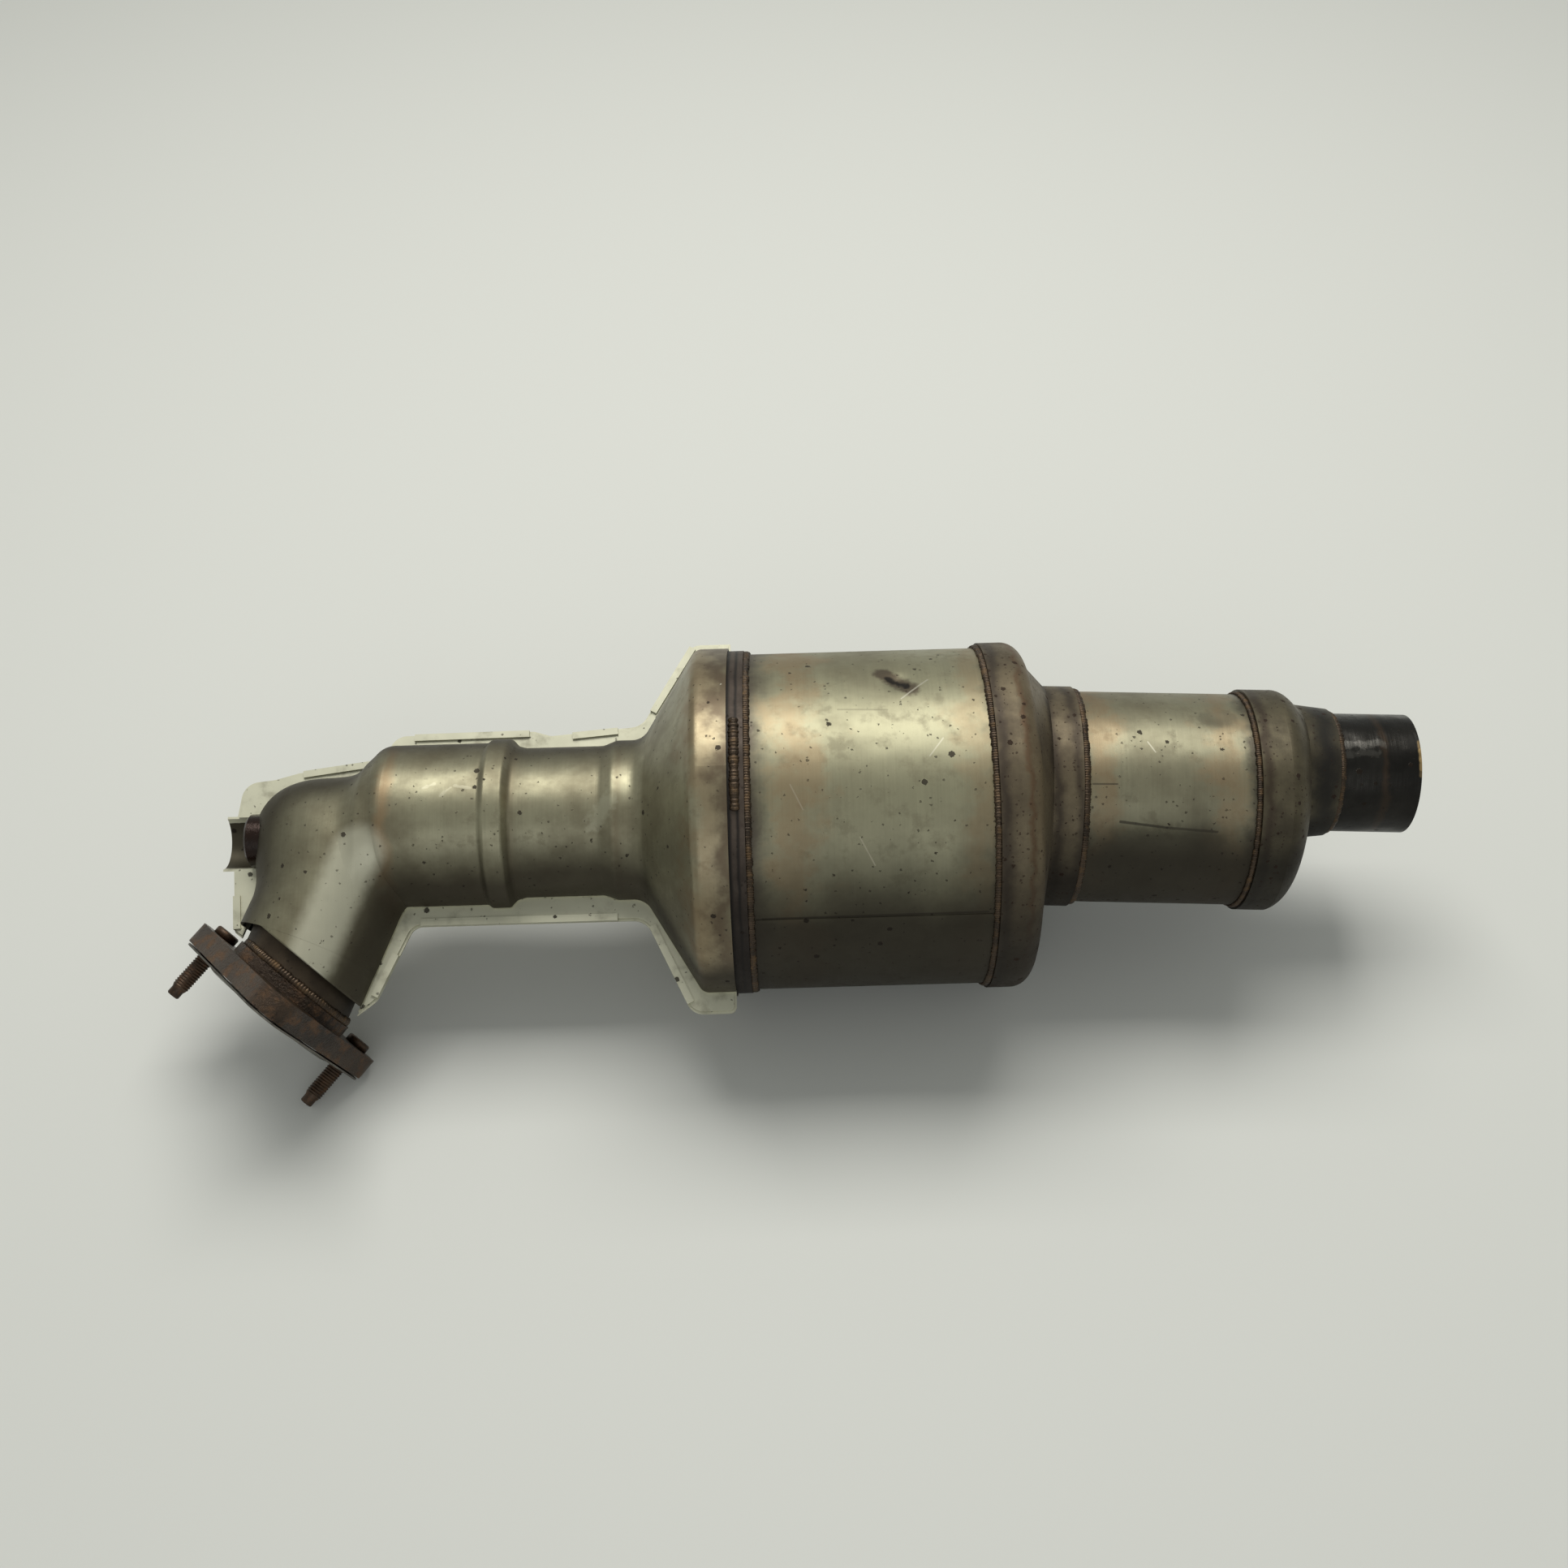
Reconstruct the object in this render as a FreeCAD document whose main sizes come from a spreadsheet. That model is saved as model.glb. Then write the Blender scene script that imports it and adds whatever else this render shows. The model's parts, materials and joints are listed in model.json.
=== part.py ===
import FreeCAD, Part
import math
import os
import re

import Sketcher

from FreeCAD import Placement, Rotation, Vector

# Twin-brick catalytic converter with a bent, heat-shielded inlet and a three-stud flange.
# Every piece is drawn in one working frame: X along the front can from inlet to outlet,
# and the seam of the two heat-shield halves in the XY plane. One shared placement then
# rolls the whole assembly to the way it lies on the ground and puts the origin at the
# middle of the inlet flange's face.
SIZES = {
    # front can and what it holds
    "can_radius": 76,
    "can_wall": 1.5,
    "can_start": -32,
    "can_end": 95,
    "mat_thick": 4.3,
    "brick_start": -14,
    "brick_length": 92,
    "mat_inset": 4,
    "mat_gap": 0.1,
    # inlet cone, lapped over the front end of the can
    "lap_gap": 0.1,
    "cone_wall": 1.5,
    "cone_lap_start": -38,
    "cone_lap_end": -17,
    "cone_neck_x": -62,
    "cone_neck_start": -74,
    # bent inlet pipe
    "pipe_radius": 27,
    "pipe_wall": 1.5,
    "pipe_start": -66,
    "bend_radius": 45,
    "bend_angle": 69,
    "bend_start": -161.5,
    "neck_run": 43.5,
    # inlet flange, with its normal in the seam plane
    "flange_angle": 50.3,
    "flange_thick": 10,
    "collar_height": 5,
    "collar_radius": 30,
    "stud_circle": 44,
    "lobe_radius": 11,
    "stud_clock": 11,
    "stud_radius": 3.9,
    "stud_out": 23,
    "stud_fit": 0.05,
    "head_radius": 5.6,
    "head_height": 3.5,
    "flange_bore": 25,
    "dog_radius": 2.9,
    "dog_length": 3.5,
    "gasket_thick": 0.8,
    "gasket_gap": 0.8,
    "gasket_bore": 27.5,
    "gasket_inset": 0.8,
    "gasket_fit": 0.5,
    "gasket_bead_radius": 31.5,
    "gasket_bead_height": 0.6,
    "gasket_bead_width": 3,
    # heat shield
    "skin": 1,
    "seam_gap": 0.05,
    "rim_gap": 0.25,
    "shield_offset": 1.4,
    "shield_neck_run": 27.5,
    "shield_tube": 35,
    "shield_foot": 37.3,
    "shield_barrel": 37.8,
    "shield_bead": 39.4,
    "barrel_end": -186,
    "bead_x": -128,
    "tube_start": -117,
    "tube_end": -82,
    "foot_x": -64,
    "rim_x": -38.5,
    "rim_corner": 5,
    "foot_corner": 9,
    "shield_elbow": 32.5,
    "shield_end": -24,
    "bulge_radius": 25,
    "bulge_x": -216,
    "bulge_y": -1,
    "strip_width": 7,
    "rim_strip": 2,
    "low_strip": 1.5,
    "cheek_strip": 9,
    "tongue": 12,
    "fold_lip": 3.2,
    # transition cone between the cans
    "step_wall": 2,
    "step_overlap": 7,
    "step_reach": 12,
    "step_fall": 8,
    "step_neck_run": 13,
    "step_corner": 9,
    # rear can, turned a little and offset from the front one
    "rear_radius": 48,
    "rear_wall": 1.5,
    "rear_ahead": 43.5,
    "rear_y": 7.3,
    "rear_turn": -2.9,
    "rear_front": -18,
    "rear_length": 92,
    "rear_mat_thick": 2.8,
    "rear_brick_start": -8,
    "rear_brick_length": 70,
    # outlet
    "bowl_wall": 2,
    "bowl_overlap": 8,
    "bowl_lap": 13,
    "bowl_depth": 14,
    "bowl_collar": 14,
    "bowl_mouth_rise": 1.6,
    "outlet_offset": 14,
    "outlet_radius": 27,
    "outlet_wall": 1.5,
    "outlet_run": 48,
    # sensor boss
    "boss_radius": 12,
    "boss_bore": 8.19,
    "boss_reach": -242.5,
    "boss_length": 30,
    "boss_y": -3.7,
    "boss_z": 4,
    "boss_clear": 0.6,
    "trough_run": 13,
    # welds and lying attitude
    "weld_size": 1.6,
    "seam_rise": 0.25,
    "seam_arc": 1.2,
    "seam_turned": 50,
    "slot_width": 5.5,
    "slot_rise": 0.9,
    "slot_arc": 29,
    "slot_turned": 2.5,
    "roll_angle": 22,
}

doc = FreeCAD.newDocument("converter")
sheet = doc.addObject("Spreadsheet::Sheet", "Sizes")
for row, (alias, value) in enumerate(SIZES.items(), start=1):
    sheet.set("A%d" % row, alias)
    sheet.set("B%d" % row, str(value))
    sheet.setAlias("B%d" % row, alias)
doc.recompute()


def size(alias):
    return float(sheet.get(alias))


def bound(text):
    """Point every size named in an expression at its spreadsheet cell."""
    return re.sub(r"[a-z_]+", lambda word: "Sizes." + word.group()
                  if word.group() in SIZES else word.group(), str(text))


def amount(text):
    """The present value of an expression over the sizes."""
    return float(sheet.evalExpression(bound(text)))


# ---------------------------------------------------------------- shared frame
bend = math.radians(size("bend_angle"))
bend_centre = Vector(size("bend_start"), -size("bend_radius"), 0)
neck_start = bend_centre + size("bend_radius") * Vector(-math.sin(bend), math.cos(bend), 0)
neck_way = Vector(-math.cos(bend), -math.sin(bend), 0)
flange_tilt = math.radians(size("flange_angle"))
flange_normal = Vector(-math.cos(flange_tilt), -math.sin(flange_tilt), 0)
collar_top = neck_start + size("neck_run") * neck_way
flange_back = collar_top + size("collar_height") * flange_normal
flange_face = flange_back + size("flange_thick") * flange_normal

roll = Rotation(Vector(1, 0, 0), size("roll_angle"))
lying = Placement(roll.multVec(flange_face) * -1, roll)


flange_side = Vector(math.sin(flange_tilt), -math.cos(flange_tilt), 0)
flange_seat = Placement(flange_back, Rotation(flange_side * -1, Vector(0, 0, 1), flange_normal, "ZXY"))
rear_seat = Placement(Vector(amount("can_end + rear_ahead"), size("rear_y"), 0),
                      Rotation(Vector(0, 0, 1), size("rear_turn")))


# ---------------------------------------------------------------- drawing helpers
def origin_plane(body, role):
    return next(item for item in body.Origin.OriginFeatures if item.Role == role)


def new_body(label, place=None):
    body = doc.addObject("PartDesign::Body", label)
    body.Label = label
    body.Placement = lying * place if place else lying
    return body


def new_sketch(body, name, role, lift=None):
    """A sketch on one of the body's own planes, lifted along its normal."""
    sketch = body.newObject("Sketcher::SketchObject", name)
    sketch.AttachmentSupport = [(origin_plane(body, role), "")]
    sketch.MapMode = "FlatFace"
    if lift is not None:
        sketch.setExpression("AttachmentOffset.Base.z", bound(lift))
    return sketch


def fix(sketch, kind, geometry, text):
    """Hold a point of the geometry, or its radius, at an expression over the sizes."""
    if kind == "Radius":
        index = sketch.addConstraint(Sketcher.Constraint(kind, geometry, amount(text)))
    else:
        index = sketch.addConstraint(Sketcher.Constraint(kind, -1, 1, *geometry, amount(text)))
    sketch.setExpression("Constraints[%d]" % index, bound(text))


def draw_corners(sketch, corners):
    """A closed outline with straight sides, each corner at a pair of expressions."""
    spots = [Vector(amount(across), amount(up), 0) for across, up in corners]
    first = sketch.GeometryCount
    for index, spot in enumerate(spots):
        sketch.addGeometry(Part.LineSegment(spot, spots[(index + 1) % len(spots)]), False)
    for index, (across, up) in enumerate(corners):
        following = first + (index + 1) % len(corners)
        sketch.addConstraint(Sketcher.Constraint("Coincident", first + index, 2, following, 1))
        fix(sketch, "DistanceX", (first + index, 1), across)
        fix(sketch, "DistanceY", (first + index, 1), up)


def draw_circle(sketch, radius, across="0", up="0"):
    centre = Vector(amount(across), amount(up), 0)
    circle = sketch.addGeometry(Part.Circle(centre, Vector(0, 0, 1), amount(radius)), False)
    fix(sketch, "Radius", circle, radius)
    fix(sketch, "DistanceX", (circle, 3), across)
    fix(sketch, "DistanceY", (circle, 3), up)


def revolve(body, name, corners):
    """Turn an outline drawn on the XY plane about the body's X axis."""
    sketch = new_sketch(body, name + "_profile", "XY_Plane")
    draw_corners(sketch, corners)
    turned = body.newObject("PartDesign::Revolution", name)
    turned.Profile = sketch
    turned.ReferenceAxis = (sketch, ["H_Axis"])
    turned.Angle = 360
    body.Tip = turned
    return turned


def round_edges(body, name, radius, wanted):
    """Fillet the edges of the body's tip that a test picks out."""
    doc.recompute()
    base = body.Tip
    names = ["Edge%d" % index for index, edge in enumerate(base.Shape.Edges, start=1) if wanted(edge)]
    fillet = body.newObject("PartDesign::Fillet", name)
    fillet.Base = (base, names)
    fillet.setExpression("Radius", bound(radius))
    body.Tip = fillet
    return fillet


def ring_at(x, radius):
    """Test for a full circle about X with the given place and radius."""
    def test(edge):
        curve = edge.Curve
        return (isinstance(curve, Part.Circle) and abs(curve.Center.x - amount(x)) < 1e-3
                and abs(curve.Radius - amount(radius)) < 1e-3)
    return test


def tube(label, start, end, outer, wall, place=None):
    body = new_body(label, place)
    inner = "%s - (%s)" % (outer, wall)
    revolve(body, label + "_turn", [(start, inner), (start, outer), (end, outer), (end, inner)])
    return body


def bead(label, x, radius, place=None, width="weld_size", height="weld_size * 0.7"):
    """A fillet weld that runs round X: a low triangle with its foot on the given radius."""
    body = new_body(label, place)
    revolve(body, label + "_turn", [(x, radius), ("%s + %s * 0.35" % (x, width), "%s + %s" % (radius, height)),
                                    ("%s + %s * 1.1" % (x, width), "%s + %s * 0.8" % (radius, height)),
                                    ("%s + %s * 1.6" % (x, width), radius)])
    return body


def solid_part(label, shape, place=None):
    feature = doc.addObject("Part::Feature", label)
    feature.Label = label
    feature.Shape = shape.removeSplitter()
    feature.Placement = lying * place if place else lying
    return feature


# ---------------------------------------------------------------- front can
tube("front_can", "can_start", "can_end", "can_radius", "can_wall")
tube("front_mat", "brick_start + mat_inset", "brick_start + brick_length - mat_inset",
     "can_radius - can_wall - mat_gap", "mat_thick")
monolith = new_body("front_monolith")
brick_radius = "can_radius - can_wall - mat_thick - 2 * mat_gap"
revolve(monolith, "front_brick", [("brick_start", "0"), ("brick_start", brick_radius),
                                  ("brick_start + brick_length", brick_radius),
                                  ("brick_start + brick_length", "0")])

# ---------------------------------------------------------------- inlet cone
inlet_cone = new_body("inlet_cone")
cone_collar = "can_radius + lap_gap + cone_wall"
cone_neck = "pipe_radius + lap_gap + cone_wall"
revolve(inlet_cone, "cone_outside", [
    ("cone_neck_start", "0"), ("cone_neck_start", cone_neck), ("cone_neck_x", cone_neck),
    ("cone_lap_start", cone_collar), ("cone_lap_end", cone_collar), ("cone_lap_end", "0")])


def hollow(body, name, wall):
    """Leave a wall inside the tip and open its two flat ends."""
    doc.recompute()
    base = body.Tip
    flats = ["Face%d" % index for index, face in enumerate(base.Shape.Faces, start=1)
             if isinstance(face.Surface, Part.Plane)]
    shell = body.newObject("PartDesign::Thickness", name)
    shell.Base = (base, flats)
    shell.setExpression("Value", bound(wall))
    shell.Reversed = True
    shell.Join = 0
    body.Tip = shell
    return shell


hollow(inlet_cone, "cone_skin", "cone_wall")

# ---------------------------------------------------------------- transition between the cans
rear_lap = "rear_radius + lap_gap + step_wall"
step_lap = "can_radius + lap_gap + step_wall"


def section(body, name, radius, lift, up="0", turn=None):
    """A circle at the given station, square to X or turned about its upright."""
    sketch = new_sketch(body, name, "YZ_Plane", lift)
    if turn is not None:
        sketch.AttachmentOffset = Placement(Vector(), Rotation(Vector(0, 1, 0), 1))
        sketch.setExpression("AttachmentOffset.Rotation.Angle", bound(turn))
        sketch.setExpression("AttachmentOffset.Base.z", bound(lift))
    draw_circle(sketch, radius, up, "0")
    return sketch


def extrude(body, name, sketch, length):
    pad = body.newObject("PartDesign::Pad", name)
    pad.Profile = sketch
    pad.setExpression("Length", bound(length))
    body.Tip = pad
    return pad


def stretch(body, name, sketches, ruled=True):
    """Loft through sections square to X."""
    loft = body.newObject("PartDesign::AdditiveLoft", name)
    loft.Profile = sketches[0]
    loft.Sections = sketches[1:]
    loft.Ruled = ruled
    body.Tip = loft
    return loft


def scoop(body, name, feature_type, profile, length=None, sections=None):
    """Cut a hollow from a body, along a straight run or through sections."""
    cut = body.newObject(feature_type, name)
    cut.Profile = profile
    if sections:
        cut.Sections = sections
        cut.Ruled = body is transition
    else:
        cut.setExpression("Length", bound(length))
        cut.Reversed = True
    body.Tip = cut


transition = new_body("transition_cone")
step_lap_start = "can_end - step_overlap"
step_face = "can_end + step_reach"
step_neck = "(can_end + step_reach + step_fall)"
rear_x = "(can_end + rear_ahead)"
neck_shift = "rear_y * cos(rear_turn) - (%s - %s) * sin(rear_turn)" % (rear_x, step_neck)
neck_station = "(%s - %s) * cos(rear_turn) - rear_y * sin(rear_turn)" % (step_neck, rear_x)
extrude(transition, "step_collar", section(transition, "lap_circle", step_lap, step_lap_start),
        "step_overlap + step_reach")
round_edges(transition, "step_shoulder", "step_corner", ring_at(step_face, step_lap))
stretch(transition, "step_slope", [
    section(transition, "face_circle", step_lap + " - step_corner", step_face),
    section(transition, "neck_circle", rear_lap, step_neck, neck_shift, "rear_turn")])
extrude(transition, "step_neck",
        section(transition, "neck_start_circle", rear_lap, step_neck, neck_shift, "rear_turn"),
        "step_neck_run")
inside_lap = step_lap + " - step_wall"
scoop(transition, "lap_bore", "PartDesign::Pocket",
      section(transition, "lap_bore_circle", inside_lap, step_lap_start),
      "step_overlap + step_reach - step_corner")
# Shares of the shoulder's depth and of its rounding, down the inside of the turned-in edge.
INSIDE_STATIONS = [(1, 0), (0.55, 0.4), (0.22, 1)]
scoop(transition, "slope_inside", "PartDesign::SubtractiveLoft",
      section(transition, "shoulder_bore_circle", inside_lap, step_face + " - step_corner"),
      sections=[section(transition, "inside_circle_%d" % index,
                        "%s - step_corner * %s" % (inside_lap, fall), "%s - step_corner * %s" % (step_face, deep))
                for index, (deep, fall) in enumerate(INSIDE_STATIONS[1:])]
      + [section(transition, "inside_neck_circle", rear_lap + " - step_wall", step_neck, neck_shift, "rear_turn")])
scoop(transition, "neck_bore", "PartDesign::Pocket",
      section(transition, "neck_bore_circle", rear_lap + " - step_wall", step_neck, neck_shift, "rear_turn"),
      "step_neck_run")

# ---------------------------------------------------------------- rear can
tube("rear_can", "rear_front", "rear_front + rear_length", "rear_radius", "rear_wall", rear_seat)
tube("rear_mat", "rear_brick_start + mat_inset", "rear_brick_start + rear_brick_length - mat_inset",
     "rear_radius - rear_wall - mat_gap", "rear_mat_thick", rear_seat)
rear_monolith = new_body("rear_monolith", rear_seat)
rear_brick_radius = "rear_radius - rear_wall - rear_mat_thick - 2 * mat_gap"
revolve(rear_monolith, "rear_brick", [
    ("rear_brick_start", "0"), ("rear_brick_start", rear_brick_radius),
    ("rear_brick_start + rear_brick_length", rear_brick_radius),
    ("rear_brick_start + rear_brick_length", "0")])

# ---------------------------------------------------------------- outlet bowl and pipe
# Shares of the bowl's depth, of its fall in radius still to come, and of its sideways shift.
BOWL_STATIONS = [(0, 1, 0), (0.3, 0.92, 0.07), (0.6, 0.70, 0.18), (0.82, 0.38, 0.45), (1, 0, 1)]
bowl_big = "rear_radius + lap_gap + bowl_wall"
bowl_small = "outlet_radius + lap_gap + bowl_wall"
mouth_rim = bowl_small + " + bowl_mouth_rise"
bowl_start = "rear_front + rear_length - bowl_overlap"
bowl_rim = bowl_start + " + bowl_lap"
bowl_mouth = bowl_rim + " + bowl_depth"

outlet_cone = new_body("outlet_cone", rear_seat)


def bowl_sections(prefix, inset):
    """Circles down the bowl, each smaller than the outside by the inset."""
    circles = []
    for index, (deep, fall, shift) in enumerate(BOWL_STATIONS):
        circles.append(section(
            outlet_cone, "%s_%d" % (prefix, index),
            "%s + (%s - (%s)) * %s - %s" % (mouth_rim, bowl_big, mouth_rim, fall, inset),
            "%s + bowl_depth * %s" % (bowl_rim, deep), "outlet_offset * %s" % shift))
    return circles


extrude(outlet_cone, "bowl_lap_run", section(outlet_cone, "bowl_lap_circle", bowl_big, bowl_start), "bowl_lap")
stretch(outlet_cone, "bowl_outside", bowl_sections("bowl_out", "0"), ruled=False)
stretch(outlet_cone, "bowl_collar_run", [
    section(outlet_cone, "bowl_mouth_circle", mouth_rim, bowl_mouth, "outlet_offset"),
    section(outlet_cone, "bowl_end_circle", bowl_small, bowl_mouth + " + bowl_collar", "outlet_offset")])
inner = bowl_sections("bowl_in", "(bowl_wall + bowl_mouth_rise)")
scoop(outlet_cone, "bowl_lap_bore", "PartDesign::Pocket",
      section(outlet_cone, "bowl_lap_bore_circle", bowl_big + " - bowl_wall", bowl_start), "bowl_lap")
scoop(outlet_cone, "bowl_inside", "PartDesign::SubtractiveLoft", inner[0], sections=inner[1:])
scoop(outlet_cone, "bowl_collar_bore", "PartDesign::Pocket",
      section(outlet_cone, "bowl_collar_bore_circle", bowl_small + " - bowl_wall", bowl_mouth, "outlet_offset"),
      "bowl_collar")

outlet_seat = rear_seat * Placement(Vector(0, size("outlet_offset"), 0), Rotation())
outlet_start = bowl_mouth + " + 2"
tube("outlet_pipe", outlet_start, outlet_start + " + outlet_run", "outlet_radius", "outlet_wall", outlet_seat)

# ---------------------------------------------------------------- inlet pipe
def bent_run(radius, start, neck):
    """The solid that a round bar of this radius fills along the inlet pipe's route."""
    way = Vector(-1, 0, 0)
    corner = Vector(size("bend_start"), 0, 0)
    straight = Part.makeCylinder(radius, start - corner.x, Vector(start, 0, 0), way)
    disc = Part.Face(Part.Wire(Part.makeCircle(radius, corner, way)))
    elbow = disc.revolve(bend_centre, Vector(0, 0, 1), size("bend_angle"))
    return straight.fuse([elbow, Part.makeCylinder(radius, neck, neck_start, neck_way)])


pipe_body = doc.addObject("PartDesign::Body", "pipe_run")
pipe_body.Placement = lying
path = new_sketch(pipe_body, "pipe_path", "XY_Plane")
start_point = Vector(size("pipe_start"), 0, 0)
corner_point = Vector(size("bend_start"), 0, 0)
end_point = neck_start + (size("neck_run") + size("pipe_radius")) * neck_way
first_angle, last_angle = math.pi / 2, math.pi / 2 + bend
path.addGeometry(Part.LineSegment(start_point, corner_point), False)
path.addGeometry(Part.ArcOfCircle(Part.Circle(bend_centre, Vector(0, 0, 1), size("bend_radius")),
                                  first_angle, last_angle), False)
path.addGeometry(Part.LineSegment(neck_start, end_point), False)
path.addConstraint(Sketcher.Constraint("Coincident", 0, 2, 1, 1))
path.addConstraint(Sketcher.Constraint("Coincident", 1, 2, 2, 1))
fix(path, "Radius", 1, "bend_radius")
fix(path, "DistanceX", (1, 3), "bend_start")
fix(path, "DistanceY", (1, 3), "-bend_radius")
fix(path, "DistanceX", (0, 1), "pipe_start")
fix(path, "DistanceY", (0, 1), "0")
fix(path, "DistanceX", (0, 2), "bend_start")
fix(path, "DistanceX", (1, 2), "bend_start - bend_radius * sin(bend_angle)")
reach = "(neck_run + pipe_radius)"
fix(path, "DistanceX", (2, 2), "bend_start - bend_radius * sin(bend_angle) - %s * cos(bend_angle)" % reach)
fix(path, "DistanceY", (2, 2), "-bend_radius + bend_radius * cos(bend_angle) - %s * sin(bend_angle)" % reach)
ring = new_sketch(pipe_body, "pipe_ring", "YZ_Plane", "pipe_start")
draw_circle(ring, "pipe_radius")
draw_circle(ring, "pipe_radius - pipe_wall")
sweep = pipe_body.newObject("PartDesign::AdditivePipe", "pipe_sweep")
sweep.Profile = ring
sweep.Spine = (path, ["Edge1", "Edge2", "Edge3"])
pipe_body.Tip = sweep

boss_seat = Placement(Vector(0, size("boss_y"), size("boss_z")), Rotation())
port = doc.addObject("Part::Cylinder", "sensor_port")
port.setExpression("Radius", bound("boss_bore"))
port.setExpression("Height", bound("boss_length + pipe_radius"))
port.Placement = lying * boss_seat * Placement(Vector(size("boss_reach"), 0, 0), Rotation(Vector(0, 1, 0), 90))
beyond = doc.addObject("Part::Cylinder", "beyond_collar")
beyond.setExpression("Radius", bound("3 * pipe_radius"))
beyond.setExpression("Height", bound("3 * pipe_radius"))
beyond.Placement = lying * Placement(collar_top, flange_seat.Rotation)
tools = doc.addObject("Part::MultiFuse", "pipe_openings")
tools.Shapes = [port, beyond]
inlet_pipe = doc.addObject("Part::Cut", "inlet_pipe")
inlet_pipe.Label = "inlet_pipe"
inlet_pipe.Base = pipe_body
inlet_pipe.Tool = tools

# ---------------------------------------------------------------- sensor boss
boss_body = doc.addObject("PartDesign::Body", "boss_turning")
boss_body.Placement = lying * boss_seat
revolve(boss_body, "boss_turn", [
    ("boss_reach", "boss_bore + 0.8"), ("boss_reach", "boss_radius - 1"), ("boss_reach + 1", "boss_radius"),
    ("boss_reach + boss_length", "boss_radius"), ("boss_reach + boss_length", "boss_bore"),
    ("boss_reach + 0.8", "boss_bore")])
pipe_bar = doc.addObject("Part::Feature", "pipe_bar")
pipe_bar.Shape = bent_run(size("pipe_radius"), size("pipe_start"), size("neck_run"))
pipe_bar.Placement = lying
sensor_boss = doc.addObject("Part::Cut", "sensor_boss")
sensor_boss.Label = "sensor_boss"
sensor_boss.Base = boss_body
sensor_boss.Tool = pipe_bar


# ---------------------------------------------------------------- inlet flange, studs and gasket
def three_lobes(sketch, grow="0"):
    """A triangle whose corners, once rounded, leave a lobe round each stud."""
    arm = "(stud_circle + 2 * (lobe_radius + %s))" % grow
    draw_corners(sketch, [("%s * cos(stud_clock + %d)" % (arm, turn), "%s * sin(stud_clock + %d)" % (arm, turn))
                          for turn in (0, 120, 240)])


def along_z(edge):
    """Test for a straight edge that runs through the plate."""
    return isinstance(edge.Curve, Part.Line) and abs(edge.tangentAt(edge.FirstParameter).z) > 0.99


def drill(body, name, sketch, length, reverse=False):
    pocket = body.newObject("PartDesign::Pocket", name)
    pocket.Profile = sketch
    pocket.setExpression("Length", bound(length))
    pocket.Reversed = reverse
    body.Tip = pocket
    return pocket


def stud_holes(body, name, radius, lift, length):
    """One hole on the stud circle, repeated for all three studs."""
    hole_sketch = new_sketch(body, name + "_circle", "XY_Plane", lift)
    draw_circle(hole_sketch, radius, "stud_circle * cos(stud_clock)", "stud_circle * sin(stud_clock)")
    hole = drill(body, name, hole_sketch, length, reverse=True)
    pattern = body.newObject("PartDesign::PolarPattern", name + "_pattern")
    pattern.Originals = [hole]
    pattern.Axis = (hole_sketch, ["N_Axis"])
    pattern.Angle = 360
    pattern.Occurrences = 3
    body.Tip = pattern


flange = new_body("inlet_flange", flange_seat)
plate_sketch = new_sketch(flange, "plate_outline", "XY_Plane")
three_lobes(plate_sketch)
extrude(flange, "plate", plate_sketch, "flange_thick")
round_edges(flange, "lobes", "lobe_radius", along_z)
collar_sketch = new_sketch(flange, "collar_circle", "XY_Plane", "-collar_height")
draw_circle(collar_sketch, "collar_radius")
extrude(flange, "collar", collar_sketch, "collar_height")
bore_sketch = new_sketch(flange, "bore_circle", "XY_Plane", "-collar_height")
draw_circle(bore_sketch, "flange_bore")
drill(flange, "bore", bore_sketch, "collar_height + flange_thick", reverse=True)
stud_holes(flange, "stud_hole", "stud_radius + stud_fit", "0", "flange_thick")

gasket = new_body("inlet_gasket", flange_seat)
gasket_sketch = new_sketch(gasket, "gasket_outline", "XY_Plane", "flange_thick + gasket_gap")
three_lobes(gasket_sketch, "-gasket_inset")
extrude(gasket, "gasket_sheet", gasket_sketch, "gasket_thick")
round_edges(gasket, "gasket_lobes", "lobe_radius - gasket_inset", along_z)
gasket_bore = new_sketch(gasket, "gasket_bore_circle", "XY_Plane", "flange_thick + gasket_gap")
draw_circle(gasket_bore, "gasket_bore")
drill(gasket, "gasket_opening", gasket_bore, "gasket_thick", reverse=True)
stud_holes(gasket, "gasket_hole", "stud_radius + gasket_fit", "flange_thick + gasket_gap", "gasket_thick")
gasket_top = "flange_thick + gasket_gap + gasket_thick"
emboss_sketch = new_sketch(gasket, "emboss_section", "XZ_Plane")
draw_corners(emboss_sketch, [
    ("gasket_bead_radius - gasket_bead_width / 2", gasket_top),
    ("gasket_bead_radius", gasket_top + " + gasket_bead_height"),
    ("gasket_bead_radius + gasket_bead_width / 2", gasket_top)])
emboss = gasket.newObject("PartDesign::Revolution", "emboss")
emboss.Profile = emboss_sketch
emboss.ReferenceAxis = (emboss_sketch, ["V_Axis"])
emboss.Angle = 360
gasket.Tip = emboss

stud_body = doc.addObject("PartDesign::Body", "one_stud")
stud_profile = new_sketch(stud_body, "stud_profile", "XZ_Plane")
draw_corners(stud_profile, [
    ("0", "-head_height"), ("head_radius - 0.6", "-head_height"), ("head_radius", "-head_height + 0.6"),
    ("head_radius", "-stud_fit"), ("stud_radius", "-stud_fit"),
    ("stud_radius", "flange_thick + stud_out - dog_length - 1"),
    ("dog_radius", "flange_thick + stud_out - dog_length"),
    ("dog_radius", "flange_thick + stud_out - 0.5"), ("dog_radius - 0.5", "flange_thick + stud_out"),
    ("0", "flange_thick + stud_out")])
stud_turn = stud_body.newObject("PartDesign::Revolution", "stud_turn")
stud_turn.Profile = stud_profile
stud_turn.ReferenceAxis = (stud_profile, ["V_Axis"])
stud_turn.Angle = 360
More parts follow.
